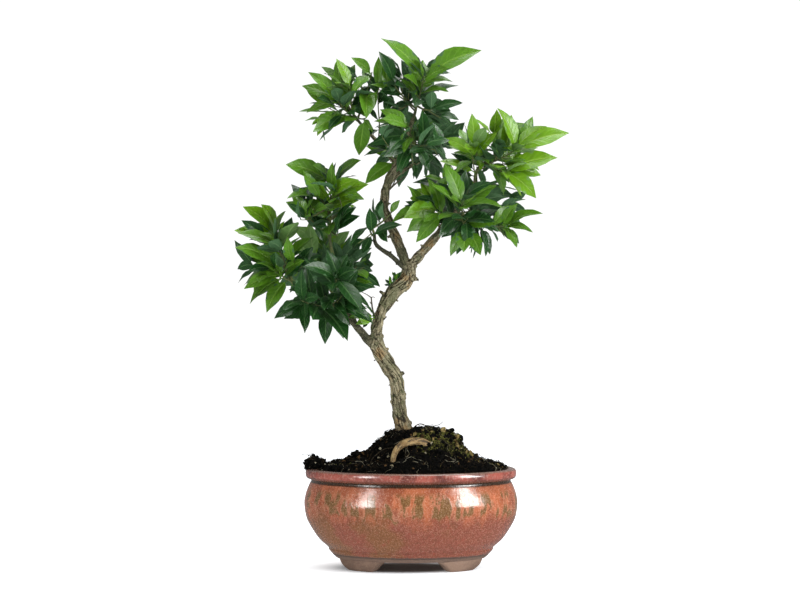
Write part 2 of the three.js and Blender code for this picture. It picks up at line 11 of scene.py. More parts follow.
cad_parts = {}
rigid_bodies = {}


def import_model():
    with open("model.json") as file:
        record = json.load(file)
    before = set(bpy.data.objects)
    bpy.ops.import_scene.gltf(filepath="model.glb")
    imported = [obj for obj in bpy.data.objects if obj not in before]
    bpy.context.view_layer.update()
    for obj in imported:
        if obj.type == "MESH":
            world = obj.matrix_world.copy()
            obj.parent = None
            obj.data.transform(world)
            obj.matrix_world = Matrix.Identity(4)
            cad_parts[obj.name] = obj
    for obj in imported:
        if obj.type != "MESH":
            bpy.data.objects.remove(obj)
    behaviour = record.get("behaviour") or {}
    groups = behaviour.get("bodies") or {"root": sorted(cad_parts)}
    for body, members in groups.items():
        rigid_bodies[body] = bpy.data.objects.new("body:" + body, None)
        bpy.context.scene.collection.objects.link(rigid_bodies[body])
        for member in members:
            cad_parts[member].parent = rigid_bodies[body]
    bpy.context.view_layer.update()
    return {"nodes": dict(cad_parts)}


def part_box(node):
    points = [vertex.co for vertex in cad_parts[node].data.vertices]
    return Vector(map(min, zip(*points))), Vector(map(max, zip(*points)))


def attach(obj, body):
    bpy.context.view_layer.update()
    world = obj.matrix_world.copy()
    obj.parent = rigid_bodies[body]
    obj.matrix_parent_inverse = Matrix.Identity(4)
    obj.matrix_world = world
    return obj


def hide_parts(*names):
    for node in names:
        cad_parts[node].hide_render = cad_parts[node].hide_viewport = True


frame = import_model()
print("solids loaded:", len(frame["nodes"]))

mm = 0.001
goldenAngle = math.pi * (3 - math.sqrt(5))
potPlanX = 7.5  # the pot's middle in the plan
potLow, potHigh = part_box("pot")
potMiddle = (potLow + potHigh) / 2 / mm
planShift = np.array([potMiddle.x - potPlanX, potMiddle.y, 0])  # from the plan to the frame


# Numbers and curves

def seeded(seed):
    state = [seed * 7919 + 17]

    def draw():
        state[0] = state[0] * 16807 % 2147483647
        return state[0] / 2147483647

    return draw


def unit(vector):
    return vector / np.linalg.norm(vector)


def smooth(value, low, high):
    share = np.clip((value - low) / (high - low), 0, 1)
    return share * share * (3 - 2 * share)


# A smooth curve through points, at shares 0 to 1 of its length.
def throughPoints(points, shares):
    points = np.asarray(points, float)
    knots = np.array([2 * points[0] - points[1], *points, 2 * points[-1] - points[-2]])
    place = np.clip(np.asarray(shares, float), 0, 1) * (len(points) - 1)
    first = np.minimum(place.astype(int), len(points) - 2)
    w = (place - first)[:, None]
    p0, p1, p2, p3 = (knots[first + k] for k in range(4))
    leaving, arriving = (p2 - p0) / 2, (p3 - p1) / 2
    bend = 3 * (p2 - p1) - 2 * leaving - arriving
    close = 2 * (p1 - p2) + leaving + arriving
    return p1 + leaving * w + bend * w**2 + close * w**3


def lengthOf(line):
    return np.linalg.norm(np.diff(line, axis=0), axis=1).sum()


# A bowed line from start to end that leans towards its knee.
def bowed(bow, shares):
    start, knee, end = bow
    t = np.atleast_1d(shares)[:, None]
    return start * (1 - t) ** 2 + knee * 2 * t * (1 - t) + end * t**2


def bowedWay(bow, share):
    start, knee, end = bow
    return unit((knee - start) * (1 - share) + (end - knee) * share)


# Meshes

def buildMesh(name, points, quads, triangles=(), shift=planShift):
    quads = np.asarray(quads, int).reshape(-1, 4)
    triangles = np.asarray(triangles, int).reshape(-1, 3)
    corners = np.concatenate([quads.ravel(), triangles.ravel()])
    starts = np.concatenate([np.arange(len(quads)) * 4, len(quads) * 4 + np.arange(len(triangles)) * 3])
    mesh = bpy.data.meshes.new(name)
    mesh.vertices.add(len(points))
    placePoints(mesh, points, shift)
    mesh.loops.add(len(corners))
    mesh.loops.foreach_set("vertex_index", corners)
    mesh.polygons.add(len(starts))
    mesh.polygons.foreach_set("loop_start", starts)
    mesh.update(calc_edges=True)
    mesh.shade_smooth()
    return mesh


def placeObject(name, mesh, *materials):
    for material in materials:
        mesh.materials.append(material)
    piece = bpy.data.objects.new(name, mesh)
    bpy.context.scene.collection.objects.link(piece)
    return piece


def finishPiece(piece, slot, *replaced):
    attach(piece, "root")
    if replaced:
        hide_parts(*replaced)


# Rings of points joined into a body and closed by a point at each end.
def closedRings(rings, startPoint, endPoint):
    count, sides = rings.shape[:2]
    around = np.arange(sides)
    after = (around + 1) % sides
    ring = np.arange(count - 1)[:, None] * sides
    quads = np.stack([ring + around, ring + after, ring + sides + after, ring + sides + around], -1)
    last = (count - 1) * sides
    startFan = np.stack([np.full(sides, count * sides), after, around], -1)
    endFan = np.stack([np.full(sides, count * sides + 1), last + around, last + after], -1)
    points = np.concatenate([rings.reshape(-1, 3), [startPoint, endPoint]])
    return points, quads.reshape(-1, 4), np.concatenate([startFan, endFan])


# A tube round a line of points, with the radius at each; it ends in a blunt point.
def tubeBody(line, radii, sides):
    along = np.gradient(line, axis=0)
    along /= np.linalg.norm(along, axis=1)[:, None]
    angles = np.arange(sides) / sides * 2 * math.pi
    across = np.array([0.2, 1, 0.1])
    rings = []
    for centre, way, radius in zip(line, along, radii):
        across = unit(across - way * across.dot(way))
        over = np.cross(way, across)
        turn = np.cos(angles)[:, None] * across + np.sin(angles)[:, None] * over
        rings.append(centre + turn * radius)
    endPoint = line[-1] + along[-1] * radii[-1] * 0.5
    return closedRings(np.array(rings), line[0] - along[0] * radii[0] * 0.2, endPoint)


def joinBodies(bodies):
    points, quads, triangles = zip(*bodies)
    offsets = np.cumsum([0] + [len(group) for group in points])

    def joined(groups):
        return np.concatenate([group + offset for group, offset in zip(groups, offsets)])

    return np.concatenate(points), joined(quads), joined(triangles)


# The points and faces of a ball of radius 1.
def ballBody(detail):
    ball = bmesh.new()
    bmesh.ops.create_icosphere(ball, subdivisions=detail, radius=1)
    ball.verts.index_update()
    points = [vert.co.copy() for vert in ball.verts]
    faces = [[vert.index for vert in face.verts] for face in ball.faces]
    ball.free()
    return points, faces


# A mesh's points in the plan.
def planPoints(mesh):
    flat = np.empty(len(mesh.vertices) * 3, np.float32)
    mesh.vertices.foreach_get("co", flat)
    return flat.reshape(-1, 3).astype(float) / mm - planShift


def placePoints(mesh, points, shift=planShift):
    mesh.vertices.foreach_set("co", ((points + shift) * mm).astype(np.float32).ravel())


def pointNumbers(mesh, name, values):
    mesh.attributes.new(name, "FLOAT", "POINT").data.foreach_set("value", np.asarray(values, np.float32))


# How well places lie within patches, 0 to 1; a patch is two coordinates and its reach.
def patchShare(first, second, patches):
    total = sum(np.exp(-((first - a) ** 2 + (second - b) ** 2) / reach**2) for a, b, reach in patches)
    return np.clip(total, 0, 1)


# What an object's modifiers make of it.
def evaluatedMesh(source, name):
    evaluated = source.evaluated_get(bpy.context.evaluated_depsgraph_get())
    mesh = bpy.data.meshes.new_from_object(evaluated)
    mesh.name = name
    return mesh


# Nodes: one output of a node, whose sums and products add the Math nodes

class Wire:
    def __init__(self, tree, socket=None):
        self.tree = tree
        self.socket = socket

    def node(self, kind, settings=None, inputs=None, output=0):
        made = self.tree.nodes.new(kind)
        for key, value in (settings or {}).items():
            setattr(made, key, value)
        for key, value in (inputs or {}).items():
            if isinstance(value, Wire):
                self.tree.links.new(value.socket, made.inputs[key])
            else:
                made.inputs[key].default_value = value
        return Wire(self.tree, made.outputs[output])

    def output(self, name):
        return Wire(self.tree, self.socket.node.outputs[name])

    def combine(self, operation, first, second):
        isVector = any(isinstance(v, tuple) or isinstance(v, Wire) and v.socket.type == "VECTOR"
                       for v in (first, second))
        if not isVector:
            return self.node("ShaderNodeMath", {"operation": operation}, {0: first, 1: second})
        first, second = ((v, v, v) if isinstance(v, (int, float)) else v for v in (first, second))
        return self.node("ShaderNodeVectorMath", {"operation": operation}, {0: first, 1: second})

    def __add__(self, other):
        return self.combine("ADD", self, other)

    def __sub__(self, other):
        return self.combine("SUBTRACT", self, other)

    def __mul__(self, other):
        return self.combine("MULTIPLY", self, other)

    def __truediv__(self, other):
        return self.combine("DIVIDE", self, other)

    def __radd__(self, other):
        return self.combine("ADD", other, self)

    def __rsub__(self, other):
        return self.combine("SUBTRACT", other, self)

    __rmul__ = __mul__

    def part(self, axis):
        return self.node("ShaderNodeSeparateXYZ", {}, {0: self}, "XYZ".index(axis))

    def magnitude(self):
        return self.node("ShaderNodeMath", {"operation": "ABSOLUTE"}, {0: self})

    def attribute(self, name):
        return self.node("ShaderNodeAttribute", {"attribute_name": name}).output("Fac")

    # 0 below low and 1 above high, or the other way where low is the greater
    def rise(self, low, high):
        settings = {"interpolation_type": "SMOOTHSTEP"}
        return self.node("ShaderNodeMapRange", settings, {"Value": self, "From Min": low, "From Max": high})

    def noise(self, scale, detail=2.0, roughness=0.5):
        inputs = {"Vector": self, "Scale": scale, "Detail": detail, "Roughness": roughness}
        return self.node("ShaderNodeTexNoise", {}, inputs)

    def mix(self, share, first, second):
        first, second = ((*v, 1) if isinstance(v, tuple) else v for v in (first, second))
        return self.node("ShaderNodeMix", {"data_type": "RGBA"}, {0: share, 6: first, 7: second}, 2)

    # layers over a base colour, each a share and a colour
    def coats(self, base, *layers):
        for share, colour in layers:
            base = self.mix(share, base, colour)
        return base

    # the sockets of a surface; its relief is a height, a depth in millimetres and a strength
    def finish(self, colour, roughness, relief, specular=0.5):
        height, depth, strength = relief
        inputs = {"Height": height, "Distance": depth * mm, "Strength": strength}
        return {
            "Base Color": colour,
            "Roughness": roughness,
            "Specular IOR Level": specular,
            "Normal": self.node("ShaderNodeBump", {}, inputs),
        }


def makeMaterial(name, paint):
    material = bpy.data.materials.new(name)
    material.use_nodes = True
    tree = material.node_tree
    tree.nodes.clear()
    kit = Wire(tree)
    place = kit.node("ShaderNodeTexCoord").output("Object")
    surface = kit.node("ShaderNodeBsdfPrincipled", {}, paint(kit, place))
    end = tree.nodes.new("ShaderNodeOutputMaterial")
    tree.links.new(surface.socket, end.inputs["Surface"])
    return material


# Geometry trees: named inputs, and an object made from what a tree gives

def newTree(name, inputs):
    tree = bpy.data.node_groups.new(name, "GeometryNodeTree")
    tree.interface.new_socket("Geometry", in_out="INPUT", socket_type="NodeSocketGeometry")
    tree.interface.new_socket("Geometry", in_out="OUTPUT", socket_type="NodeSocketGeometry")
    for label, kind in inputs.items():
        tree.interface.new_socket(label, in_out="INPUT", socket_type="NodeSocket" + kind)
    return Wire(tree), Wire(tree).node("NodeGroupInput")


def closeTree(kit, geometry, material):
    realized = kit.node("GeometryNodeRealizeInstances", {}, {"Geometry": geometry})
    painted = kit.node("GeometryNodeSetMaterial", {}, {"Geometry": realized, "Material": material})
    end = kit.tree.nodes.new("NodeGroupOutput")
    kit.tree.links.new(painted.socket, end.inputs["Geometry"])
    return kit.tree


def growFrom(source, tree, name, values):
    modifier = source.modifiers.new("grow", "NODES")
    modifier.node_group = tree
    for item in tree.interface.items_tree:
        if item.in_out == "INPUT" and item.name in values:
            modifier[item.identifier] = values[item.name]
    mesh = evaluatedMesh(source, name)
    source.modifiers.remove(modifier)
    return placeObject(name, mesh)


# The pot

potPlan = {
    "halfLength": 89.8,
    "halfDepth": 70,
    "baseHalfLength": 63,
    "segments": 192,
    "step": 1.1,  # between the points of the smooth profile
    "wobble": 0.18,  # how far the hand-made wall strays
}
potSections = [  # half length and height, from the underside up the outside and down the inside
    [(0.01, 9), (30, 9), (60, 9)],
    [(60, 9), (62.4, 9.2), (64.6, 11), (67.4, 13.8), (69.3, 16.2), (69.3, 17.6)],
    [(69.3, 17.6), (70.9, 19.2), (77.3, 25), (83.8, 34.5), (88, 43), (89.8, 54), (89, 61), (87.2, 67),
     (84.9, 72.2)],
    [(84.9, 72.2), (84, 73.6), (84.1, 75.2)],
    [(84.1, 75.2), (86.5, 75.5), (88.1, 76.6), (88.8, 78.8), (88.8, 81), (88.2, 82.8), (86.8, 83.8),
     (84.8, 84), (82.4, 83.8), (81.1, 82.8), (80.8, 80.5)],
    [(80.8, 80.5), (79.8, 73), (81, 41), (74, 28), (56, 17)],
    [(56, 17), (28, 17), (0.01, 17)],
]


def depthOf(reach):
    inset = potPlan["halfLength"] - potPlan["halfDepth"]
    core = potPlan["baseHalfLength"] * 0.8
    return np.where(reach > core, reach - inset, reach * (core - inset) / core)


def ovalRings(profile, segments):
    angles = np.arange(segments) / segments * 2 * math.pi
    reach = profile[:, :1]
    x = reach * np.cos(angles) + potPlanX
    y = depthOf(reach) * np.sin(angles)
    z = np.broadcast_to(profile[:, 1:], x.shape)
    return np.stack([x, y, z], -1)


def smoothProfile(sections, step):
    profile = []
    for section in sections:
        count = max(2, round(lengthOf(np.array(section)) / step))
        profile.extend(throughPoints(section, np.arange(count) / count))
    profile.append(np.array(sections[-1][-1]))
    return np.array(profile)


def paintGlaze(kit, place):
    height = place.part("Z") / mm
    wide = place.noise(16, 1)
    broad = place.noise(45, 3, 0.6)
    fine = place.noise(420, 4, 0.65)
    grain = place.noise(1000, 3, 0.6)
    runs = (place * (1, 1, 0.32)).noise(115, 3, 0.55) + fine * 0.16
    ragged = (place * (1, 1, 0.25)).noise(85, 3, 0.6)
    streaks = (place * (1, 1, 0.2)).noise(260, 3, 0.6)
    belly = kit.coats(  # pink and golden brown, mottled finely
        kit.mix((wide + broad * 0.6).rise(0.72, 0.88), (0.2, 0.074, 0.024), (0.235, 0.056, 0.034)),
        (grain.rise(0.46, 0.66) * 0.6, (0.33, 0.15, 0.075)),
        (grain.rise(0.5, 0.34) * 0.6, (0.085, 0.027, 0.01)),
        (fine.rise(0.5, 0.36) * 0.45, (0.1, 0.04, 0.012)),
        (streaks.rise(0.6, 0.72) * 0.5, (0.3, 0.06, 0.035)),
    )
    copper = kit.coats(  # the shoulder
        kit.mix(broad.rise(0.38, 0.6), (0.27, 0.062, 0.024), (0.42, 0.115, 0.045)),
        (grain.rise(0.5, 0.68) * 0.6, (0.58, 0.26, 0.135)),
        (fine.rise(0.45, 0.34) * 0.6, (0.13, 0.038, 0.013)),
        (streaks.rise(0.56, 0.7) * 0.6, (0.62, 0.2, 0.1)),
    )
    red = kit.coats(  # the rim
        kit.mix(broad.rise(0.36, 0.6), (0.12, 0.028, 0.02), (0.34, 0.08, 0.055)),
        (fine.rise(0.5, 0.68) * 0.55, (0.5, 0.25, 0.18)),
        (height.rise(78.6, 76.6) * 0.75, (0.075, 0.026, 0.014)),
    )
    # olive runs, each to its own depth, with pale margins
    runZone = (height - ragged * 30).rise(31, 35) * height.rise(70, 64)
    olive = runs.rise(0.57, 0.62) * runZone
    margin = runs.rise(0.53, 0.57) * runs.rise(0.615, 0.575) * runZone
    # dark neck, worn lip, and bare clay under the belly
    neck = (height + fine * 2).rise(72.6, 74) * height.rise(76, 75.3)
    lip = (height + fine * 2).rise(83.2, 84.4)
    bare = (height + fine * 2.4).rise(15.4, 14.2)
    seam = bare * (height + fine * 2.4).rise(12.8, 13.8)
    clay = kit.mix(grain.rise(0.35, 0.65), (0.12, 0.066, 0.042), (0.2, 0.12, 0.082))
    colour = kit.coats(
        belly,
        ((height + ragged * 34 + fine * 8).rise(60, 78), copper),
        (olive * 0.92, kit.mix(grain.rise(0.36, 0.62), (0.1, 0.048, 0.012), (0.23, 0.12, 0.04))),
        (margin * 0.45, (0.5, 0.22, 0.12)),
        (neck * 0.95, kit.mix(fine, (0.008, 0.0045, 0.0015), (0.04, 0.022, 0.006))),
        (height.rise(75.2, 75.9), red),
        (lip * 0.85, kit.mix(fine, (0.1, 0.055, 0.04), (0.26, 0.16, 0.12))),
        (grain.rise(0.68, 0.76) * 0.5, (0.08, 0.024, 0.014)),
        (bare, kit.mix(seam * 0.7, clay, (0.03, 0.016, 0.01))),
    )
    gloss = 0.06 + 0.16 * fine + 0.18 * grain.rise(0.35, 0.7)
    relief = fine * 0.45 + olive * 0.3 + broad * 0.8 + streaks * 0.7 + grain * 0.3
    return {
        **kit.finish(colour, gloss + bare * 0.4, (relief, 0.3, 0.5), 0.7),
        "Coat Weight": 0.25 * (1 - bare) * (1 - neck),
        "Coat Roughness": 0.07,
        "Coat IOR": 1.4,
    }


def makePot():
    profile = smoothProfile(potSections, potPlan["step"])
    rings = ovalRings(profile, potPlan["segments"])
    middle = np.array([potPlanX, 0, 0])
    for ring in rings:
        for point in ring:
            stray = noise.noise(Vector(point) * 0.035) * potPlan["wobble"]
            if point[2] > 12:
                point[:2] -= unit(point[:2] - middle[:2]) * (stray + potPlan["wobble"])
    points, quads, triangles = closedRings(rings, middle + (0, 0, 9), middle + (0, 0, 17))
    mesh = buildMesh("pot_glazed", points, quads, triangles)
    piece = placeObject("pot_glazed", mesh, makeMaterial("copper_glaze", paintGlaze))
    finishPiece(piece, "glaze", "pot")
    print("pot:", len(mesh.polygons), "faces")


# The cloud feet

footPlan = {
    "from": 14,  # degrees round the base, from its long end
    "to": 67,
    "flat": 0.5,  # share of the length that stands on the table
    "top": 9.6,  # runs a little into the base ring
    "thickness": 13,
    "taper": 5,
    "vault": 1.4,  # thickness of the clay over the arches between the feet
    "chamfer": (1.6, 1.1),  # width and height of the worn edge underneath
    "rounding": 1.2,  # of the outer corners
    "grid": (48, 12, 10),
}


def paintClay(kit, place):
    broad = place.noise(60, 3)
    fine = place.noise(900, 3, 0.65)
    colour = kit.mix(broad.rise(0.35, 0.65), (0.155, 0.088, 0.057), (0.26, 0.16, 0.108))
    colour = kit.mix(fine.rise(0.5, 0.75) * 0.5, colour, (0.38, 0.27, 0.19))
    return kit.finish(colour, 0.62 + fine * 0.25, (fine + broad, 0.3, 0.7))


def footBody(side, end):
    long, deep, tall = footPlan["grid"]
    shell = {}
    points, quads = [], []

    def corner(i, j, k):
        if (i, j, k) not in shell:
            shell[i, j, k] = len(points)
            points.append(footPoint(side, end, i / long, j / deep, k / tall))
        return shell[i, j, k]

    def wall(count, other, place):
        for a in range(count):
            for b in range(other):
                quads.append([corner(*place(*c)) for c in ((a, b), (a + 1, b), (a + 1, b + 1), (a, b + 1))])

    wall(deep, long, lambda a, b: (b, a, 0))
    wall(long, deep, lambda a, b: (a, b, tall))
    wall(long, tall, lambda a, b: (a, 0, b))
    wall(tall, long, lambda a, b: (b, deep, a))
    wall(tall, deep, lambda a, b: (0, b, a))
    wall(deep, tall, lambda a, b: (long, a, b))
    if side * end > 0:
        quads = [face[::-1] for face in quads]
    return np.array(points), np.array(quads), np.zeros((0, 3), int)


# A point of a foot from its shares along the base, from the back to the outer face, and up.
def footPoint(side, end, along, outward, upward):
    top = footPlan["top"]
    curl = smooth(abs(along * 2 - 1), footPlan["flat"], 1)
    edge = min(outward, 1 - outward) * footPlan["thickness"]
    chamferWidth, chamferHeight = footPlan["chamfer"]
    underside = (top - footPlan["vault"]) * curl + chamferHeight * (1 - min(1, edge / chamferWidth)) ** 2
    height = underside + (top - underside) * upward
    angle = math.radians(footPlan["from"] + (footPlan["to"] - footPlan["from"]) * along)
    lean = footPlan["taper"] * (1 - height / top) ** 1.6
    rounding = footPlan["rounding"] * smooth(abs(along * 2 - 1), 0.7, 1) * outward
    inner = potPlan["baseHalfLength"] - footPlan["thickness"]
    outer = potPlan["baseHalfLength"] - lean - rounding
    reach = inner + (outer - inner) * outward
    x = potPlanX + end * reach * math.cos(angle)
    return [x, side * float(depthOf(reach)) * math.sin(angle), height]


def makeFeet():
    feet = [footBody(side, end) for side in (-1, 1) for end in (-1, 1)]
    mesh = buildMesh("pot_feet", *joinBodies(feet))
    mesh.set_sharp_from_angle(angle=math.radians(50))
    piece = placeObject("pot_feet", mesh, makeMaterial("bare_clay", paintClay))
    names = [f"pot_foot_{side}_{end}" for side in ("front", "back") for end in ("left", "right")]
    finishPiece(piece, "foot_clay", *names)
    print("feet:", len(mesh.polygons), "faces")


# The soil: a rough mound with crumbs, fibres, pale granules, moss and rootlets on it

soilPlan = {
    "level": 86,
    "rise": 30,
    "centre": 18,
    "leftReach": 51,
    "rightReach": 40,
    "depthReach": 46,
    "knee": 0.85,
    "steepness": 5,
    "mouth": 80.5,  # half length of the surface
    "rings": 92,
    "segments": 240,
    "clods": 2.3,  # height of the lumps
    "edge": 0.93,  # share of the mouth from where the soil sinks to the wall
    "sink": 3.4,
    "spills": [  # lumps of peat: on the left end of the rim, and about the mound
        (-75, -6, 86, 5.5), (-71, -12, 87, 5), (-74, 2, 89, 5.5), (-68, -5, 87, 5), (-78.5, -2, 87.5, 3.6),
        (-36, -4, 93, 5.5), (-30, -14, 94, 5), (-44, 6, 89, 4.5), (44, -6, 109, 5), (38, 10, 111, 5),
        (47, -14, 100, 5), (24, 4, 115, 4), (-14, -12, 106, 5), (28, -24, 104, 5),
    ],
    "moss": [  # x, y and reach of its patches
        (34, -16, 21), (46, -4, 17), (17, -31, 9), (74, -14, 10), (-46, -22, 8), (8, 26, 13),
        (-30, 22, 12), (30, 34, 12),
    ],
    "hidden": [(30, 70), (78.5, 70), (79.9, 76)],  # half length and height, inside the pot's wall
    "sown": 82,  # things are strewn above this height
}


def soilHeight(x, y):
    reach = np.where(x < soilPlan["centre"], soilPlan["leftReach"], soilPlan["rightReach"])
    away = np.hypot((x - soilPlan["centre"]) / reach, y / soilPlan["depthReach"]) / soilPlan["knee"]
    return soilPlan["level"] + soilPlan["rise"] / (1 + away ** soilPlan["steepness"])


def lumpiness(x, y):
    broad = noise.fractal(Vector((x, y, 3)) * 0.12, 0.7, 2.1, 5)
    fine = noise.noise(Vector((x, y, 9)) * 0.8)
    return soilPlan["clods"] * (broad + 0.4 * fine)


def paintSoil(kit, place):
    fine = place.noise(700, 4, 0.7)
    broad = place.noise(90, 2)
    moss = kit.attribute("moss")
    green = kit.mix(fine.rise(0.4, 0.65), (0.016, 0.018, 0.004), (0.14, 0.14, 0.035))
    colour = kit.coats(
        kit.mix(fine.rise(0.42, 0.72), (0.0006, 0.0008, 0.0008), (0.007, 0.0065, 0.005)),
        (fine.rise(0.66, 0.74) * broad.rise(0.5, 0.62), (0.1, 0.06, 0.026)),
        ((moss * broad * 2).rise(0.45, 0.9), green),
    )
    return kit.finish(colour, 0.95, (fine, 0.9, 1.0), 0.03)


def spillBody(x, y, z, radius):
    points, faces = ballBody(4)
    middle = Vector((x, y, z))
    rough = [1 + 0.35 * noise.fractal(point * 1.6 + middle, 0.8, 2.1, 4) for point in points]
    shaped = np.array(middle) + np.array(points) * (radius, radius * 1.2, radius * 0.9) * np.c_[rough]
    return shaped, np.zeros((0, 4), int), np.array(faces)


def makeSoil():
    mouth, edge, rings = (soilPlan[key] for key in ("mouth", "edge", "rings"))
    hidden = soilPlan["hidden"]
    top = [(mouth * (1 - i / rings), 100) for i in range(rings)]
    points = ovalRings(np.array(hidden + top, float), soilPlan["segments"])
    for ring in points[len(hidden):]:
        x, y = ring[:, 0], ring[:, 1]
        out = np.hypot((x - potPlanX) / mouth, y / depthOf(np.array(mouth)))
        lumps = np.array([lumpiness(*pair) for pair in zip(x, y)])
        ring[:, 2] = soilHeight(x, y) + lumps * smooth(out, 1, edge) - soilPlan["sink"] * smooth(out, edge, 1)
    middle = np.array([potPlanX, 0, hidden[0][1]])
    peak = np.array([potPlanX, 0, float(soilHeight(potPlanX, 0)) + lumpiness(potPlanX, 0)])
    bodies = [closedRings(points, middle, peak)]
    bodies += [spillBody(*spill) for spill in soilPlan["spills"]]
    mesh = buildMesh("soil_mound", *joinBodies(bodies))
    x, y, z = planPoints(mesh).T
    moss = patchShare(x, y, soilPlan["moss"])
    shown = (z > soilPlan["sown"]).astype(float)
    pointNumbers(mesh, "moss", moss)
    pointNumbers(mesh, "everywhere", shown)
    pointNumbers(mesh, "onMoss", moss**1.5 * shown)
    piece = placeObject("soil_mound", mesh, makeMaterial("dark_peat", paintSoil))
    print("soil:", len(mesh.polygons), "faces")
    return piece


# Kinds of small bodies that a scatter picks from

def crumbKinds(label, count, detail, flatness, seed):
    kinds = bpy.data.collections.new(label)
    for k in range(count):
        points, faces = ballBody(detail)
        place = Vector((k * 5.3, seed, 0))
        points = [point * (1 + 0.6 * noise.noise(point * 1.1 + place)) for point in points]
        mesh = bpy.data.meshes.new(f"{label}_{k}")
        mesh.from_pydata([(x, y * 0.8, z * flatness) for x, y, z in points], [], faces)
        kinds.objects.link(bpy.data.objects.new(mesh.name, mesh))
    return kinds


def fibreKinds(label, count, thickness, lift, seed):
    kinds = bpy.data.collections.new(label)
    draw = seeded(seed)
    for k in range(count):
        knots = [[i - 1.5, 0.9 * (draw() - 0.5), lift * draw() + 0.05] for i in range(4)]
        line = throughPoints(np.array(knots) / 3, np.linspace(0, 1, 7))
        radii = thickness * np.linspace(1, 0.4, 7)
        mesh = buildMesh(f"{label}_{k}", *tubeBody(line, radii, 4), shift=0)
        mesh.transform(Matrix.Scale(1 / mm, 4))  # a kind measures about 1 m
        kinds.objects.link(bpy.data.objects.new(mesh.name, mesh))
    return kinds


def dropKinds(kinds):
    for kind in list(kinds.objects):
        bpy.data.objects.remove(kind)
    bpy.data.collections.remove(kinds)


# Small bodies strewn over a surface where an attribute of it says how thickly.
def scatterTree(label, attribute):
    kit, given = newTree(label, {
        "Kinds": "Collection", "Density": "Float", "Smallest": "Float", "Largest": "Float",
        "Turn": "Vector", "Seed": "Int", "Material": "Material",
    })
    share = kit.node("GeometryNodeInputNamedAttribute", {"data_type": "FLOAT"}, {"Name": attribute})
    points = kit.node("GeometryNodeDistributePointsOnFaces", {"distribute_method": "RANDOM"}, {
        "Mesh": given.output("Geometry"),
        "Density": share * given.output("Density"),
        "Seed": given.output("Seed"),
    })
    kinds = kit.node("GeometryNodeCollectionInfo", {}, {
        "Collection": given.output("Kinds"), "Separate Children": True, "Reset Children": True,
    })
    pick = kit.node("FunctionNodeRandomValue", {"data_type": "INT"}, {4: 0, 5: 99, "Seed": 3}, 2)
    turn = kit.node("FunctionNodeRandomValue", {"data_type": "FLOAT_VECTOR"}, {
        0: (0, 0, 0), 1: given.output("Turn"), "Seed": 5,
    })
    spin = kit.node("FunctionNodeEulerToRotation", {}, {"Euler": turn})
    rotation = kit.node("FunctionNodeRotateRotation", {"rotation_space": "LOCAL"}, {
        "Rotation": points.output("Rotation"), "Rotate By": spin,
    })
    size = kit.node("FunctionNodeRandomValue", {"data_type": "FLOAT"}, {
        2: given.output("Smallest"), 3: given.output("Largest"), "Seed": 7,
    }, 1)
    strewn = kit.node("GeometryNodeInstanceOnPoints", {}, {
        "Points": points, "Instance": kinds, "Pick Instance": True, "Instance Index": pick,
        "Rotation": rotation, "Scale": size,
    })
    return closeTree(kit, strewn, given.output("Material"))


def paintPlain(dark, light):
    def paint(kit, place):
        colour = kit.mix(place.noise(260, 3, 0.6).rise(0.36, 0.64), dark, light)
        return kit.finish(colour, 0.9, (place.noise(1500, 2), 0.2, 0.8), 0.05)
    return paint


wholeTurn = (6.28, 6.28, 6.28)
flatTurn = (0, 0, 6.28)
scatterPlan = {  # kind with count and shape; where; number per square metre; sizes in mm; turn; colours
    "soil_crumbs": (("crumb", 5, 1, 0.75), "everywhere", 200000, (0.35, 1.0), wholeTurn,
                    (0.0006, 0.0008, 0.0008), (0.008, 0.007, 0.0055)),
    "soil_clods": (("clod", 5, 2, 0.7), "everywhere", 36000, (0.9, 2.6), wholeTurn,
                   (0.0005, 0.0006, 0.0006), (0.0055, 0.005, 0.0042)),
    "soil_granules": (("granule", 4, 2, 0.8), "everywhere", 1100, (0.7, 1.6), wholeTurn,
                      (0.2, 0.17, 0.1), (0.42, 0.38, 0.27)),
    "soil_chips": (("chip", 4, 1, 0.3), "everywhere", 9000, (0.9, 2.4), wholeTurn,
                   (0.02, 0.012, 0.005), (0.14, 0.08, 0.035)),
    "soil_fibres": (("fibre", 7, 0.022, 0.6), "everywhere", 42000, (4, 11), flatTurn,
                    (0.002, 0.0018, 0.0014), (0.035, 0.024, 0.013)),
    "pale_fibres": (("straw", 6, 0.014, 0.5), "everywhere", 6500, (5, 14), flatTurn,
                    (0.14, 0.12, 0.07), (0.4, 0.38, 0.28)),
    "moss_tufts": (("tuft", 5, 0.06, 1.3), "onMoss", 260000, (1.0, 2.8), wholeTurn,
                   (0.035, 0.04, 0.007), (0.36, 0.36, 0.1)),
    "bark_bits": (("bit", 4, 2, 0.45), "onMoss", 5200, (1.6, 3.6), wholeTurn,
                  (0.06, 0.04, 0.014), (0.34, 0.26, 0.1)),
}


def strewSoil(soil):
    for number, (name, plan) in enumerate(scatterPlan.items()):
        kind, where, density, (smallest, largest), turn, dark, light = plan
        makeKinds = crumbKinds if isinstance(kind[2], int) else fibreKinds  # a crumb's detail is whole
        kinds = makeKinds(*kind, 11 + number)
        piece = growFrom(soil, scatterTree(name, where), name, {
            "Kinds": kinds, "Density": float(density), "Smallest": smallest * mm, "Largest": largest * mm,
            "Turn": turn, "Seed": 5 + number, "Material": makeMaterial(name, paintPlain(dark, light)),
        })
        dropKinds(kinds)
        finishPiece(piece, "soil")
        print(name + ":", len(piece.data.polygons), "faces")
    finishPiece(soil, "soil", "soil")


# Lines with a girth at each point, made tubes

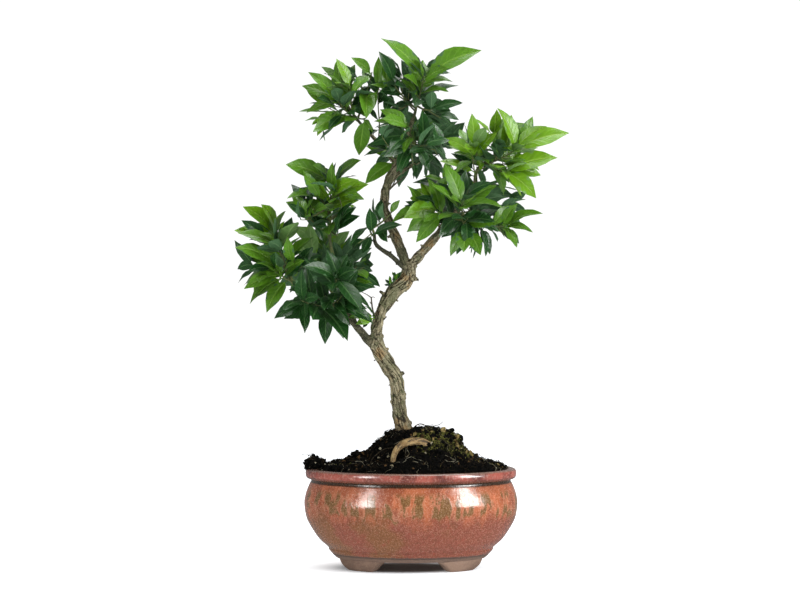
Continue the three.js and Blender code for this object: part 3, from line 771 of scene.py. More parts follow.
def tubeTree(label):
    kit, given = newTree(label, {"Sides": "Int", "Material": "Material"})
    curve = kit.node("GeometryNodeMeshToCurve", {}, {"Mesh": given.output("Geometry")})
    circle = kit.node("GeometryNodeCurvePrimitiveCircle", {}, {
        "Resolution": given.output("Sides"), "Radius": 1.0,
    })
    girth = kit.node("GeometryNodeInputNamedAttribute", {"data_type": "FLOAT"}, {"Name": "girth"})
    tubes = kit.node("GeometryNodeCurveToMesh", {}, {
        "Curve": curve, "Profile Curve": circle, "Scale": girth, "Fill Caps": True,
    })
    return closeTree(kit, tubes, given.output("Material"))


def tubesAlong(name, lines, sides, material):
    points = np.concatenate([line for line, _ in lines])
    girths = np.concatenate([girth for _, girth in lines])
    starts = np.cumsum([0] + [len(line) for line, _ in lines])
    edges = [(i, i + 1) for a, b in zip(starts, starts[1:]) for i in range(a, b - 1)]
    mesh = bpy.data.meshes.new(name + "_lines")
    mesh.from_pydata(((points + planShift) * mm).tolist(), edges, [])
    pointNumbers(mesh, "girth", girths * mm)
    source = placeObject(name + "_lines", mesh)
    piece = growFrom(source, tubeTree(name), name, {"Sides": sides, "Material": material})
    bpy.data.objects.remove(source)
    piece.data.shade_smooth()
    print(name + ":", len(piece.data.polygons), "faces")
    return piece


def taperedLine(points, thick, thin, step=1.5):
    count = max(4, round(lengthOf(np.array(points, float)) / step))
    shares = np.linspace(0, 1, count + 1)
    return throughPoints(points, shares), thick + (thin - thick) * shares


# The limbs: stations along each one as x, y, z and radius, parents first

limbs = {
    "trunk": [
        [2.6, 0, 109.5, 8.6], [1.6, 0, 115, 7.3], [-1.8, 0, 129, 6.2], [-4.6, 1, 155, 6.1],
        [-13, 0, 172.5, 6.7], [-20.4, -2, 185.5, 6.1], [-21.6, -3, 197, 4.9], [-17.6, 0, 215, 4.6],
        [-7.5, 2, 231.5, 6.5], [3.5, 2, 242.5, 7.1], [6.8, 0, 255, 5.6],
    ],
    "bough_leader": [
        [5.5, 0, 249, 4.6], [-2.4, 1.5, 271, 4.2], [-12, 3, 294, 3.8], [-15.2, 2, 304, 3.8],
        [-12.4, 0, 322, 3.7], [-3.2, 0, 343.5, 3.4],
    ],
    "bough_right": [
        [5, 0, 252, 4.3], [21.5, -3, 270, 3.8], [47, -2, 301.5, 2.7], [60.5, 0, 315, 2.1],
        [62, 1, 330, 1.7],
    ],
    "bough_left": [[-21, -1, 186.5, 3.8], [-28.5, -2, 191.5, 3.7], [-46.6, -5, 213, 2.6]],
    "bough_left_inner": [
        [4.5, -1.5, 249.5, 2.2], [-9.6, -5, 262.5, 1.9], [-21, -6, 270.6, 1.7], [-23.6, -6, 281, 1.4],
    ],
    "bough_left_upper": [[-37, -3, 201, 2], [-48, 2, 228, 1.8], [-58, 8, 262, 1.5]],
    "bough_left_outer": [[-41, -4, 205.5, 2.1], [-56, 3, 218.5, 1.9], [-81, 0, 230, 1.5]],
    "bough_left_back": [[-36, -3, 199, 2], [-43, 10, 212, 1.8], [-56, 26, 226, 1.5]],
    "bough_top_left": [[-5, -0.5, 339, 2.2], [-16, 0, 353, 2], [-30, 3, 368, 1.6]],
    "bough_top": [[-3.6, 0, 341.5, 2.4], [2.5, 3, 359, 2.1], [9.5, 3, 378, 1.7]],
    "bough_centre": [[-4, -0.5, 341, 2.1], [3.5, -6, 348.5, 1.9], [9, -11, 353, 1.7]],
    "bough_back": [[-12.8, 0, 321, 2.2], [-2, 18, 333, 1.9], [14, 30, 343, 1.6]],
    "bough_right_lower": [[26.5, -4.5, 276, 2.4], [33, -9, 282, 2.1], [40, -13, 287, 1.8]],
    "bough_right_back": [[22, -3, 270.5, 2.1], [32, 13, 281.5, 1.9], [45, 28, 290, 1.6]],
}
rootStations = [
    [28, -22, 99, 3.4], [22, -31, 105, 3.3], [12, -37, 109, 3.1], [3, -41, 107.5, 2.9],
    [-3.5, -43.5, 103.5, 2.6], [-6.8, -45, 97, 2.3], [-7.5, -45, 90.5, 2.1], [-7, -44, 86, 2],
]
barkPlan = {
    "voxel": 0.5,
    "sides": 40,
    "furrow": 0.85,  # depth on the trunk
    "stubEvery": 13,  # along a limb
    "stubRadius": 1.25,
    "stubHeight": 1.7,
    "base": 104,  # the trunk runs this deep into the soil
    "warm": [(1.5, 112, 14), (-19, 176, 11), (9, 240, 11), (-8, 268, 7), (24, 272, 9)],  # x, z and reach
    # painted shade on the boughs within the crown, 0 to 1, where the leaves shade them
    "paintedShades": {"bough_left": 0.75, "bough_left_inner": 0.95, "bough_leader": 0.25},
}


knots = {  # old shoots' blunt ends on a limb: x, z and radius
    "trunk": [
        (13.6, 241.5, 2.6), (-18.6, 232.4, 2), (-3.6, 224.2, 1), (-12.6, 210.6, 1.1), (-8.6, 177.8, 0.9),
        (1.4, 163.8, 2), (3.2, 145.8, 1.9), (-9.6, 139.4, 1.9), (-11.9, 153, 0.9), (-23.6, 173.8, 1),
        (-14.6, 161.8, 1.2), (10.6, 113.5, 2),
    ],
    "bough_leader": [(-12, 278, 1.6), (-1.6, 279.5, 0.9), (-19.6, 302, 1.5), (-9.6, 306, 1)],
    "bough_right": [(27.5, 271, 1.1), (29, 288.5, 0.9), (15.5, 271.5, 1.4)],
    "bough_left_inner": [(-9, 266, 0.9), (-19, 267, 0.9), (-25.6, 274.5, 0.8), (0.6, 255.5, 0.9)],
    "bough_left": [(-34, 194, 1), (-37, 206.5, 0.9), (-45, 206.5, 0.9)],
}


def limbLine(stations, step):
    places = np.array(stations)[:, :3]
    count = round(lengthOf(throughPoints(places, np.linspace(0, 1, 201))) / step)
    shares = np.linspace(0, 1, count + 1)
    radii = np.interp(shares * (len(stations) - 1), np.arange(len(stations)), np.array(stations)[:, 3])
    return throughPoints(places, shares), radii


# Short blunt stubs of pruned shoots, set round a limb by the golden angle.
def stubBodies(line, radii, draw):
    bodies = []
    along = np.gradient(line, axis=0)
    every = round(barkPlan["stubEvery"] / lengthOf(line[:2]))
    for k, i in enumerate(range(every, len(line) - every, every)):
        i += round(every * 0.6 * (draw() - 0.5))
        way = unit(along[i])
        across = unit(np.cross(way, [0.3, 1, 0.2]))
        over = np.cross(way, across)
        turn = k * goldenAngle + 0.8 * draw()
        out = unit(across * math.cos(turn) + over * math.sin(turn) + way * 0.5)
        size = barkPlan["stubRadius"] * (0.45 + 0.55 * radii[i] / 6) * (0.7 + 0.6 * draw())
        height = barkPlan["stubHeight"] * (0.4 + 0.6 * radii[i] / 6) * (0.3 + draw())
        steps = np.linspace(0, 1, 5)
        reach = radii[i] * 0.6 + (radii[i] * 0.4 + height) * steps
        bodies.append(tubeBody(line[i] + out * reach[:, None], size * (1.35 - 0.5 * steps), 12))
    return bodies


def knotBodies(name, line, radii):
    bodies = []
    for x, z, radius in knots.get(name, []):
        nearest = np.argmin(np.hypot(line[:, 0] - x, line[:, 2] - z))
        start = line[nearest]
        end = np.array([x, start[1] - 0.15 * radii[nearest], z])
        steps = np.linspace(0, 1, 9)
        bodies.append(tubeBody(start + (end - start) * steps[:, None], radius * (1.5 - 0.9 * steps), 14))
    return bodies


def paintBark(kit, place):
    names = ("relief", "young", "dark", "warm", "knot")
    relief, young, dark, warm, knot = (kit.attribute(name) for name in names)
    broad = place.noise(60, 3)
    patches = place.noise(130, 3, 0.6)
    fine = place.noise(950, 3, 0.65)
    algae = (patches + young * 0.08).rise(0.53, 0.4) * 0.6 + young * 0.3
    colour = kit.coats(
        kit.mix(relief.rise(0.2, 0.85), (0.1, 0.078, 0.036), (0.3, 0.26, 0.155)),
        (broad.rise(0.45, 0.62) * 0.7, (0.13, 0.115, 0.062)),
        (fine.rise(0.5, 0.68) * relief.rise(0.4, 0.9) * 0.75, (0.58, 0.53, 0.37)),
        ((patches + warm * 0.16).rise(0.58, 0.74) * 0.6, (0.3, 0.175, 0.06)),
        (algae * (1 - warm * 0.7), (0.062, 0.082, 0.026)),
        (relief.rise(0.5, 0.1) * 0.9, (0.014, 0.0115, 0.006)),
        (fine.rise(0.42, 0.32) * 0.6, (0.035, 0.028, 0.014)),
        (knot * 0.7, (0.03, 0.022, 0.011)),
        # painted shade: a near-black green on the boughs within the crown
        (dark, kit.mix(fine.rise(0.4, 0.65), (0.012, 0.011, 0.006), (0.085, 0.085, 0.045))),
    )
    return kit.finish(colour, 0.85, (fine + patches * 0.5, 0.6, 1.0), 0.3)


def paintRoot(kit, place):
    fine = place.noise(900, 3, 0.65)
    colour = kit.coats(
        kit.mix(place.noise(120, 3).rise(0.36, 0.64), (0.2, 0.115, 0.035), (0.42, 0.29, 0.12)),
        (fine.rise(0.55, 0.72) * 0.6, (0.6, 0.48, 0.28)),
        (kit.attribute("relief").rise(0.5, 0.15), (0.05, 0.03, 0.01)),
        (fine.rise(0.42, 0.32) * 0.6, (0.1, 0.06, 0.02)),
    )
    return kit.finish(colour, 0.8, (fine, 0.4, 1.0))


# How furrowed the bark is at an offset from its limb's line, and how far it swells there.
def barkRelief(offset, along, radius):
    crowd = 0.4 if radius > 2.6 else 0.62
    drift = Vector((0.3, 0.5, 0.8)) * along
    deep = math.exp(-(noise.noise(offset * crowd + drift * 0.1) / 0.14) ** 2)
    thin = math.exp(-(noise.noise(offset * crowd * 2.0 + drift * 0.22 + Vector((9, 0, 4))) / 0.17) ** 2)
    cross = math.exp(-(noise.noise(offset * 0.2 + drift * 0.42 + Vector((0, 7, 0))) / 0.05) ** 2)
    lump = noise.noise(offset * 0.17 + drift * 0.14 + Vector((3, 3, 0)))
    return min(1, 0.8 * deep + 0.45 * thin + 0.42 * cross), lump


# Bark's relief on a mesh: points are moved outwards, and attributes say how high, how young, how deep in
# painted shade and how warm each lies, and whether it is on a knot.
def carveBark(mesh, lines, depth, paintedShades):
    points = planPoints(mesh)
    normals = np.array([v.normal for v in mesh.vertices])
    sums = np.zeros((len(points), 5))  # weight, furrow, move, youth and shade
    outside = np.full(len(points), 9.0)
    for number, (line, radii) in enumerate(lines):
        lengths = np.concatenate([[0], np.cumsum(np.linalg.norm(np.diff(line, axis=0), axis=1))])
        tree = kdtree.KDTree(len(line))
        for i, place in enumerate(line):
            tree.insert(place, i)
        tree.balance()
        reach = radii.max() + 4
        near = np.all((points > line.min(0) - reach) & (points < line.max(0) + reach), axis=1)
        for i in np.flatnonzero(near):
            _, at, distance = tree.find(points[i])
            space = distance - radii[at]
            if space > 3:
                continue
            offset = Vector(points[i] - line[at])
            furrow, lump = barkRelief(offset, lengths[at] + number * 57, radii[at])
            weight = math.exp(-max(0, space) * 1.6) + 1e-4
            move = min(1, (radii[at] / 6.5) ** 0.8) * depth * (0.3 + lump * 1.5 - furrow)
            youth = smooth(radii[at], 4.4, 2.2)
            sums[i] += np.multiply((1, furrow, move, youth, paintedShades[number]), weight)
            outside[i] = min(outside[i], space)
    furrow, move, youth, paintedShade = sums[:, 1:].T / np.maximum(sums[:, 0], 1e-4)
    points += normals * move[:, None]
    placePoints(mesh, points)
    mesh.update()
    pointNumbers(mesh, "relief", 1 - np.clip(furrow, 0, 1))
    pointNumbers(mesh, "young", youth)
    pointNumbers(mesh, "dark", paintedShade)
    pointNumbers(mesh, "knot", smooth(outside, 0.9, 2.0))
    pointNumbers(mesh, "warm", patchShare(points[:, 0], points[:, 2], barkPlan["warm"]))


def makeWood():
    lines = {name: limbLine(stations, 0.8) for name, stations in limbs.items()}
    draw = seeded(61)
    bodies = []
    for name, (line, radii) in lines.items():
        if name == "trunk":
            foot = line[0] + np.outer([-1, -0.5], [0, 0, line[0][2] - barkPlan["base"]])
            line = np.concatenate([foot, line])
            radii = np.concatenate([[10.5, 9.8], radii])
            lines[name] = line, radii
        bodies.append(tubeBody(line, radii, barkPlan["sides"]))
        bodies.extend(stubBodies(line, radii, draw))
        bodies.extend(knotBodies(name, line, radii))
    source = placeObject("wood_plain", buildMesh("wood_plain", *joinBodies(bodies)))
    remesh = source.modifiers.new("remesh", "REMESH")
    remesh.mode = "VOXEL"
    remesh.voxel_size = barkPlan["voxel"] * mm
    soften = source.modifiers.new("soften", "SMOOTH")
    soften.factor = 0.5
    soften.iterations = 4
    mesh = evaluatedMesh(source, "wood_bark")
    bpy.data.objects.remove(source)
    paintedShades = [barkPlan["paintedShades"].get(name, 0) for name in lines]
    carveBark(mesh, list(lines.values()), barkPlan["furrow"], paintedShades)
    mesh.shade_smooth()
    piece = placeObject("wood_bark", mesh, makeMaterial("furrowed_bark", paintBark))
    finishPiece(piece, "bark", *limbs)
    print("wood:", len(mesh.polygons), "faces")


def makeSurfaceRoot():
    line, radii = limbLine(rootStations, 0.6)
    mesh = buildMesh("root_bark", *tubeBody(line, radii, 36))
    carveBark(mesh, [(line, radii)], 0.7, [0])
    piece = placeObject("root_bark", mesh, makeMaterial("root_bark", paintRoot))
    finishPiece(piece, "root_bark", "surface_root")


# The rule for foliage, as the solids have it: a stem from each bough's tip, shoots, leading leaves that
# make the outline (x and z of the foot, then the tip) and leaves round the shoots

gap = 0.3  # between a bough's tip and its mass's stem
leafPlan = {
    "length": 34,
    "width": 0.42,  # of the length
    "arch": 0.16,  # how far the tip bends down, of the length
    "longest": 56,  # of a leading leaf
    "shifts": (0, -6, 6, -12, 12),  # that a leading leaf's tip tries, to the front and back
    "near": 5,  # least square distance to other leaves
    "clear": 1.2,  # of a limb's bark
    "every": 3.2,  # between leaves along a shoot
    "tries": (12, 0.55),  # places round the shoot for a leaf, and the angle between them
}
twigPlan = {
    "shoot": 1.0,  # radius
    "rings": 2,
    "feet": (0.3, 0.05, 14),  # places on a shoot for a leading leaf: the first, the step and the count
}
crownMiddle = np.array([0, 0, 310.0])
# fill is how many shoots the rule aims, and leads are the ends of the others; youth makes leaves fresher and
# lighter, partly young growth and partly painted light on the masses that the lamps fall on
massKeys = ("name", "bough", "centre", "radii", "fill", "seed", "youth", "leads", "leading")
masses = [dict(zip(massKeys, row)) for row in (
    ("mass_top_left", "bough_top_left", (-47, 0, 390), (43, 41, 40), 2, 30, 0.55,
     [(-53.5, -12, 391.2), (-25.1, -8, 415.9), (-30, -20, 376.3), (-43.4, -16, 403.3)],
     [(-57.6, 391.1, -78.5, -18, 413.3), (-45.9, 405.9, -54.7, -20, 425.1),
      (-57.8, 390.9, -82.9, -8, 404.6), (-55.1, 388.7, -78.8, -20, 380.8),
      (-46.7, 374.4, -74.8, -22, 366.6), (-31.7, 366.5, -35.4, 0, 347.3),
      (-22.6, 416.8, -41.8, -10, 427.7), (-22.4, 400.5, -30.2, -30, 375.7),
      (-47.2, 397.1, -33, -38, 379.7), (-20.9, 414.3, -41.6, -20, 397.9), (-31, 394, -22.6, -18, 409.6),
      (-31.7, 386.5, -22, -24, 387.6), (-33.4, 378.4, -23.3, -8, 363.8), (-2.5, 396.5, -29.5, -24, 377.6)]),
    ("mass_top", "bough_top", (13, 0, 398), (49, 46, 39), 2, 23, 0.3,
     [(18.3, -14, 411.9), (-8.4, -14, 406.9), (24.9, -20, 383), (5.8, -26, 377.4)],
     [(17.5, 413.4, -16.3, -20, 442.6), (24.2, 414.2, 66.4, -18, 429.2), (19.9, 404.6, 42, -26, 406.8),
      (24.3, 415.5, 49.7, -2, 419.5), (19.9, 397.2, 38.8, -28, 398.5), (28, 381.6, 50.1, -22, 387.5),
      (-8.4, 404.6, -18.7, -26, 430.5), (15.7, 399.3, 0.8, -30, 411.4), (11.7, 396, -2.5, -8, 409.2),
      (-5, 391.7, -17.9, -20, 399.6), (-5, 402.4, -14.2, -12, 417.1)]),
    ("mass_centre", "bough_centre", (5, -26, 357), (41, 38, 33), 0, 28, 0.3,
     [(5.7, -34, 367.7), (-14.9, -28, 349.1), (33, -32, 348.8), (8.2, -38, 346.8)],
     [(0, 383.8, -23.4, -26, 371), (-3.4, 386.9, -17.9, -30, 381.5), (23.1, 366.9, 13.9, -44, 379.9),
      (-10.8, 342.9, -29.3, -30, 352.3), (21.4, 336.3, 5.7, -46, 345.4), (50.2, 358.2, 24.8, -24, 371)]),
    ("mass_back", "bough_back", (16, 36, 356), (48, 35, 40), 5, 11, 0.4, [], []),
    ("mass_right_upper", "bough_right", (83, -2, 346), (55, 46, 40), 2, 13, 0.72,
     [(59.8, -20, 353), (96.7, -14, 351.8), (86.5, -18, 331.5), (64.5, -28, 327.6)],
     [(93.8, 364.5, 78.4, -20, 383.2), (64.9, 368.6, 80.1, -4, 384.7), (98.8, 357.4, 118.7, -20, 370.2),
      (105, 349.5, 139.1, -16, 361.7), (90.6, 337.1, 128.6, -22, 340.8), (84.5, 324.8, 111.2, -26, 310.4),
      (92.8, 333.8, 116.1, -12, 330.3), (59.3, 357.1, 57, -26, 378.7), (62.1, 352.6, 81.6, -34, 369),
      (57.2, 344.9, 38.8, -4, 354.9), (74.2, 338, 64.7, -44, 348.8), (94.3, 349.1, 83, -38, 361.6)]),
    ("mass_right_lower", "bough_right_lower", (52, -18, 297), (66, 43, 40), 1, 37, 0.45,
     [(49.5, -32, 304.3), (29.7, -28, 297.8), (86.5, -18, 286.6), (21.6, -20, 308.1), (52.9, -28, 282.9)],
     [(56.1, 332.7, 37.1, -30, 337.4), (29.7, 300.2, 2.8, -40, 291.6), (27.4, 291.6, 4.8, -24, 281.4),
      (29.8, 288.3, 13.7, -34, 272), (52, 280.3, 38.8, -32, 262.2), (54.1, 280.4, 66, -28, 263.1),
      (52.8, 280, 51.4, -44, 263.8), (84.9, 284.9, 96.2, -24, 269.3), (90.9, 286.9, 107.9, -14, 280.6),
      (90.7, 290.9, 115.5, -26, 295.7), (93.3, 288.4, 94.2, -30, 305.2), (63.7, 316, 82.2, -44, 299.6),
      (37.2, 318.6, 15.6, -12, 325.1)]),
    ("mass_right_back", "bough_right_back", (66, 38, 306), (48, 34, 36), 5, 18, 0.4, [], []),
    ("mass_left_upper", "bough_left_upper", (-62, -4, 306), (46, 43, 41), 2, 5, 0.62,
     [(-59.3, -14, 316.8), (-80, -16, 296.7), (-53.1, -26, 278.8), (-45.1, -14, 304.3)],
     [(-71, 327.3, -95.9, -16, 336.2), (-60.7, 316.6, -74.5, -28, 338.4), (-58.8, 325, -35.1, -14, 341.6),
      (-62.8, 309.9, -94.7, -24, 309.6), (-52.6, 308.7, -28.4, -26, 319.4),
      (-57.9, 319, -43.7, -4, 324.8), (-69.6, 294.5, -82.4, -36, 305.7), (-28.5, 293.7, -38.5, -2, 302.9)]),
    ("mass_left_outer", "bough_left_outer", (-102, -2, 262), (44, 46, 48), 2, 48, 0.55,
     [(-105.3, -12, 275.1), (-100.7, -18, 245.8), (-89.5, -26, 256.5)],
     [(-107.8, 285, -132.6, -10, 303.1), (-103.5, 288.8, -117.2, -18, 304.7),
      (-112.2, 273.5, -131.1, -22, 292.8), (-111.7, 267.7, -139.5, -12, 283.1),
      (-108.4, 258.3, -137.6, -20, 270.4), (-103.1, 247.2, -130.9, -24, 235.1),
      (-103.6, 248.2, -119.1, -34, 255), (-101.5, 240.2, -126.6, -14, 222.5),
      (-94, 233.3, -114, -14, 216.1), (-105.2, 266.4, -89, -36, 286.8)]),
    ("mass_left_lower", "bough_left", (-64, -24, 228), (50, 42, 40), 1, 26, 0.05,
     [(-84.5, -26, 225), (-54.4, -36, 244.8), (-56.1, -36, 220.1), (-36.5, -24, 254.9)],
     [(-86.6, 226.1, -98.2, -34, 212.1), (-81.4, 222, -80.9, -40, 198.1),
      (-53.9, 243.9, -35.8, -58, 214.4), (-69, 220.1, -45.7, -56, 192.4), (-56.5, 210.1, -37.2, -30, 187),
      (-50.2, 256, -27.7, -44, 243.5), (-41.5, 233.3, -24.3, -30, 239.5),
      (-38.8, 267.9, -30.1, -44, 257.4)]),
    ("mass_left_back", "bough_left_back", (-70, 38, 254), (50, 34, 44), 5, 19, 0.4, [], []),
    ("sprig_inner", "bough_left_inner", (-29, -12, 290), (31, 30, 28), 0, 114, 0.35,
     [(-8.4, -20, 298.2), (-26.7, -16, 288.3), (-25, -22, 278.1)],
     [(-8.4, 294.6, -1.2, -20, 307.3), (-24.9, 281.4, -28.1, -32, 300.1), (-21.6, 276.4, -0.1, -28, 286)]),
)]
massCentres = np.array([mass["centre"] for mass in masses], float)
massRadii = np.array([mass["radii"] for mass in masses], float)
massApart = np.linalg.norm(massCentres[:, None] - massCentres[None], axis=2)
limbLines = [limbLine(stations, 2) for stations in limbs.values()]
limbPlaces = np.concatenate([line for line, _ in limbLines])
limbGirths = np.concatenate([radii for _, radii in limbLines])


def clearOfLimbs(points, margin):
    apart = np.linalg.norm(points[:, None] - limbPlaces[None], axis=2)
    return bool(np.all(apart > limbGirths + margin))


# On the mass's own side of the planes that part it from the other masses.
def onOwnSide(number, points, margin=0.5):
    sizes = massRadii.mean(axis=1)
    power = ((points[:, None] - massCentres[None]) ** 2).sum(axis=2) - sizes**2
    others = np.arange(len(masses)) != number
    lead = (power[:, others] - power[:, [number]]) / (2 * massApart[number, others])
    return bool(np.all(lead > margin))


def insideSpace(number, points):
    shares = (points - massCentres[number]) / massRadii[number]
    return bool(np.all((shares**2).sum(axis=1) <= 1)) and onOwnSide(number, points)


def leafPoint(leaf, along, across):
    bend = leaf["length"] * leafPlan["arch"] * along**2
    return leaf["root"] + leaf["way"] * along * leaf["length"] + leaf["side"] * across - leaf["up"] * bend


bladeMiddle = 17  # which of a blade's points lies in its middle


# Points over a leaf's blade that its fit is tested at.
def bladePoints(leaf):
    along = np.repeat(np.arange(2, 10) / 9, 5)[:, None]
    share = np.tile([-1, -0.5, 0, 0.5, 1], 8)[:, None]
    half = leaf["length"] * leafPlan["width"] * np.sin(math.pi * np.minimum(1, along * 0.9 + 0.05)) / 2
    return leafPoint(leaf, along, half * share)


def leafFits(number, points, grown, near, inReach):
    if not inReach(number, points) or not clearOfLimbs(points, leafPlan["clear"]):
        return False
    middle = points[bladeMiddle]
    close = [other["points"] for other in grown
             if np.linalg.norm(other["points"][bladeMiddle] - middle) <= leafPlan["length"] * 1.5]
    if not close:
        return True
    others = np.concatenate(close)
    squares = (others**2).sum(axis=1)[:, None] + (points**2).sum(axis=1) - 2 * others @ points.T
    return squares.min() > near


# A place on a twig's axis, which runs straight from ring to ring in the solids.
def onTwig(bow, share):
    rings = twigPlan["rings"]
    i = min(int(share * rings), rings - 1)
    ends = bowed(bow, [i / rings, (i + 1) / rings])
    return ends[0] + (ends[1] - ends[0]) * (share * rings - i)


# A direction at an angle from a shoot's axis, turned round it.
def wayOut(axis, spread, turn):
    level = unit(np.cross([0.1, 0, 1], axis))
    around = level * math.cos(turn) + np.cross(axis, level) * math.sin(turn)
    return unit(axis * math.cos(spread) + math.sin(spread) * around)


# A leaf from its root along a way, with its upper side to what it faces.
def leafAlong(root, way, facing, roll, length):
    up = unit(facing - way * facing.dot(way))
    up = up * math.cos(roll) + np.cross(way, up) * math.sin(roll)
    return {"root": root, "way": way, "up": up, "side": np.cross(way, up), "length": length}


def turnsFrom(turn, tries, step):
    return [turn + attempt * step for attempt in range(tries)]


# Tries a leaf at one place round a shoot after another until one fits.
def setLeaf(number, bow, t, full, spread, facing, roll, turns, grown, near, tint):
    root = onTwig(bow, t)
    axis = bowedWay(bow, t)
    for attempt, turn in enumerate(turns):
        leaf = leafAlong(root, wayOut(axis, spread, turn), facing, roll, full * (1 - 0.03 * attempt))
        leaf["points"] = bladePoints(leaf)
        if leafFits(number, leaf["points"], grown, near, insideSpace):
            grown.append({**leaf, "slip": bowed(bow, t)[0] - root, "tint": tint, "isLeading": 0})
            return


def facingOf(root, draw):
    facing = unit(root - crownMiddle) * 0.6
    facing[0] += 0.5 * (draw() - 0.5)
    facing[1] += np.sign(root[1] - crownMiddle[1]) * 0.55
    facing[2] += 0.7
    return facing


def growLeaves(number, bow, draw, grown, tint):
    count = max(8, round(lengthOf(bowed(bow, np.linspace(0, 1, 201))) / leafPlan["every"]))
    phase = draw() * 6.28
    for k in range(count):
        t = 0.25 + 0.68 * k / (count - 1)
        spread = math.radians(85 + (35 - 85) * t + 16 * (draw() - 0.5))
        facing = facingOf(onTwig(bow, t), draw)
        roll = 1.5 * (draw() - 0.5)
        full = leafPlan["length"] * (0.85 + 0.3 * draw())
        turns = turnsFrom(phase + k * goldenAngle, *leafPlan["tries"])
        older = max(0, tint - (t < 0.5))
        setLeaf(number, bow, t, full, spread, facing, roll, turns, grown, leafPlan["near"], older)


def growMass(number):
    mass = masses[number]
    draw = seeded(mass["seed"])
    before, tip = np.array(limbs[mass["bough"]], float)[-2:, :3]
    way = unit(tip - before)
    centre = massCentres[number]
    stem = (tip + way * gap, tip + way * np.linalg.norm(centre - tip) * 0.4, centre)
    tips = [np.array(lead, float) for lead in mass["leads"]]
    for i in range(mass["fill"]):
        rise = 0.8 - 1.4 * i / (mass["fill"] - 1) if mass["fill"] > 1 else 0
        turn = math.pi / 2 + i * goldenAngle + 0.9 * (draw() - 0.5)
        flat = math.sqrt(1 - rise * rise)
        reach = 0.5 + 0.15 * draw()
        aim = np.array([flat * math.cos(turn), flat * math.sin(turn), rise])
        tips.append(aim * massRadii[number] * reach + centre)
    shoots = []
    for i, end in enumerate(tips):
        start = onTwig(stem, 0.3 + 0.7 * (i + 0.5) / len(tips))
        knee = (start + end) / 2 - np.array([0, 0, 0.12 * np.linalg.norm(end - start)])
        bow = (start, knee, end)
        line = bowed(bow, np.linspace(0, 1, 13))
        if clearOfLimbs(line, 2) and onOwnSide(number, line, 2):
            shoots.append(bow)
    tints = [sprayTint(mass, bow[2], centre) for bow in shoots]
    grown = growLeading(number, shoots, tints)
    for bow, tint in zip(shoots, tints):
        growLeaves(number, bow, draw, grown, tint)
    return stem, shoots, tints, grown


# Each leading leaf from the nearest place on a shoot; its tip moves to the front or back until it fits.
def growLeading(number, shoots, tints):
    grown = []
    first, step, count = twigPlan["feet"]
    places = [first + k * step for k in range(count)]
    feet = [(onTwig(bow, t), bow, t, tint) for bow, tint in zip(shoots, tints) for t in places]
    for footX, footZ, tipX, tipY, tipZ in masses[number]["leading"]:
        away = [math.hypot(root[0] - footX, root[2] - footZ) for root, *_ in feet]
        root, bow, t, tint = feet[int(np.argmin(away))]
        for shift in leafPlan["shifts"]:
            leaf = leafTo(root, np.array([tipX, tipY + shift, tipZ]))
            leaf["points"] = bladePoints(leaf)
            fits = leafFits(number, leaf["points"], grown, leafPlan["near"], onOwnSide)
            if leaf["length"] <= leafPlan["longest"] and fits:
                grown.append({**leaf, "slip": bowed(bow, t)[0] - root, "tint": tint, "isLeading": 1})
                break
    return grown


# A leaf that turns its upper side to the front and ends at a tip once it has arched.
def leafTo(root, tip):
    facing = np.array([0.1, -0.8, 0.6])
    way = unit(tip - root)
    up = unit(facing - way * facing.dot(way))
    aim = tip + up * np.linalg.norm(tip - root) * leafPlan["arch"] - root
    return leafAlong(root, unit(aim), facing, 0, np.linalg.norm(aim))


# The tint of a spray, 0 deep to 3 fresh: lighter on the crown's upper and outer side, partly fresher leaves
# and partly painted light where the lamps fall.
def sprayTint(mass, tip, centre):
    height = (tip[2] - centre[2]) / mass["radii"][2]
    outward = abs(tip[0]) / 140
    chance = 1.6 * noise.noise(Vector(tip) * 0.06)
    return int(np.clip(round(mass["youth"] * 2.6 + height * 0.9 + outward * 0.5 + chance - 0.4), 0, 3))


# Finer than the solids: side twigs with smaller leaves, and young leaves at the shoots' tips

finePlan = {
    "every": 9,  # along a shoot
    "length": 13,
    "leaves": 4,
    "leafSize": (0.58, 0.9),  # of a full leaf
    "tipLeaves": 4,
    "near": 2.2,  # least square distance to other leaves
    "tries": (7, 0.9),
    "lift": 2.5,  # of a side twig's end
}


def growFiner(number, shoots, tints, grown):
    draw = seeded(masses[number]["seed"] + 1000)
    twigs = []
    for bow, tint in zip(shoots, tints):
        length = lengthOf(bowed(bow, np.linspace(0, 1, 21)))
        count = max(2, round(length * 0.7 / finePlan["every"]))
        for k in range(count):
            t = 0.22 + 0.72 * (k + 0.5) / count
            turn = draw() * 6.28
            way = wayOut(bowedWay(bow, t), math.radians(50 + 20 * (draw() - 0.5)), turn)
            size = finePlan["length"] * (0.7 + 0.6 * draw())
            start = bowed(bow, t)[0]
            end = start + way * size + (0, 0, finePlan["lift"])
            twig = (start, (start + end) / 2 - (0, 0, 0.8), end)
            if not insideSpace(number, end[None]) or not clearOfLimbs(end[None], 2):
                continue
            before = len(grown)
            smallLeaves(number, twig, finePlan["leaves"], draw, grown, max(0, tint - 1))
            if len(grown) > before:
                twigs.append(twig)
        smallLeaves(number, bow, finePlan["tipLeaves"], draw, grown, tint, 0.86)
    return twigs


def smallLeaves(number, bow, count, draw, grown, tint, first=0.3):
    phase = draw() * 6.28
    low, high = finePlan["leafSize"]
    for k in range(count):
        t = first + (1 - first) * (k + 0.8) / count
        facing = facingOf(onTwig(bow, min(t, 1)), draw)
        spread = math.radians(78 - 46 * t + 16 * (draw() - 0.5))
        roll = 1.2 * (draw() - 0.5)
        full = leafPlan["length"] * (low + (high - low) * draw())
        turns = turnsFrom(phase + k * goldenAngle, *finePlan["tries"])
        setLeaf(number, bow, min(t, 0.99), full, spread, facing, roll, turns, grown, finePlan["near"], tint)


# Leaves as meshes: a thin lens in section, folded along the midrib, on a short stalk

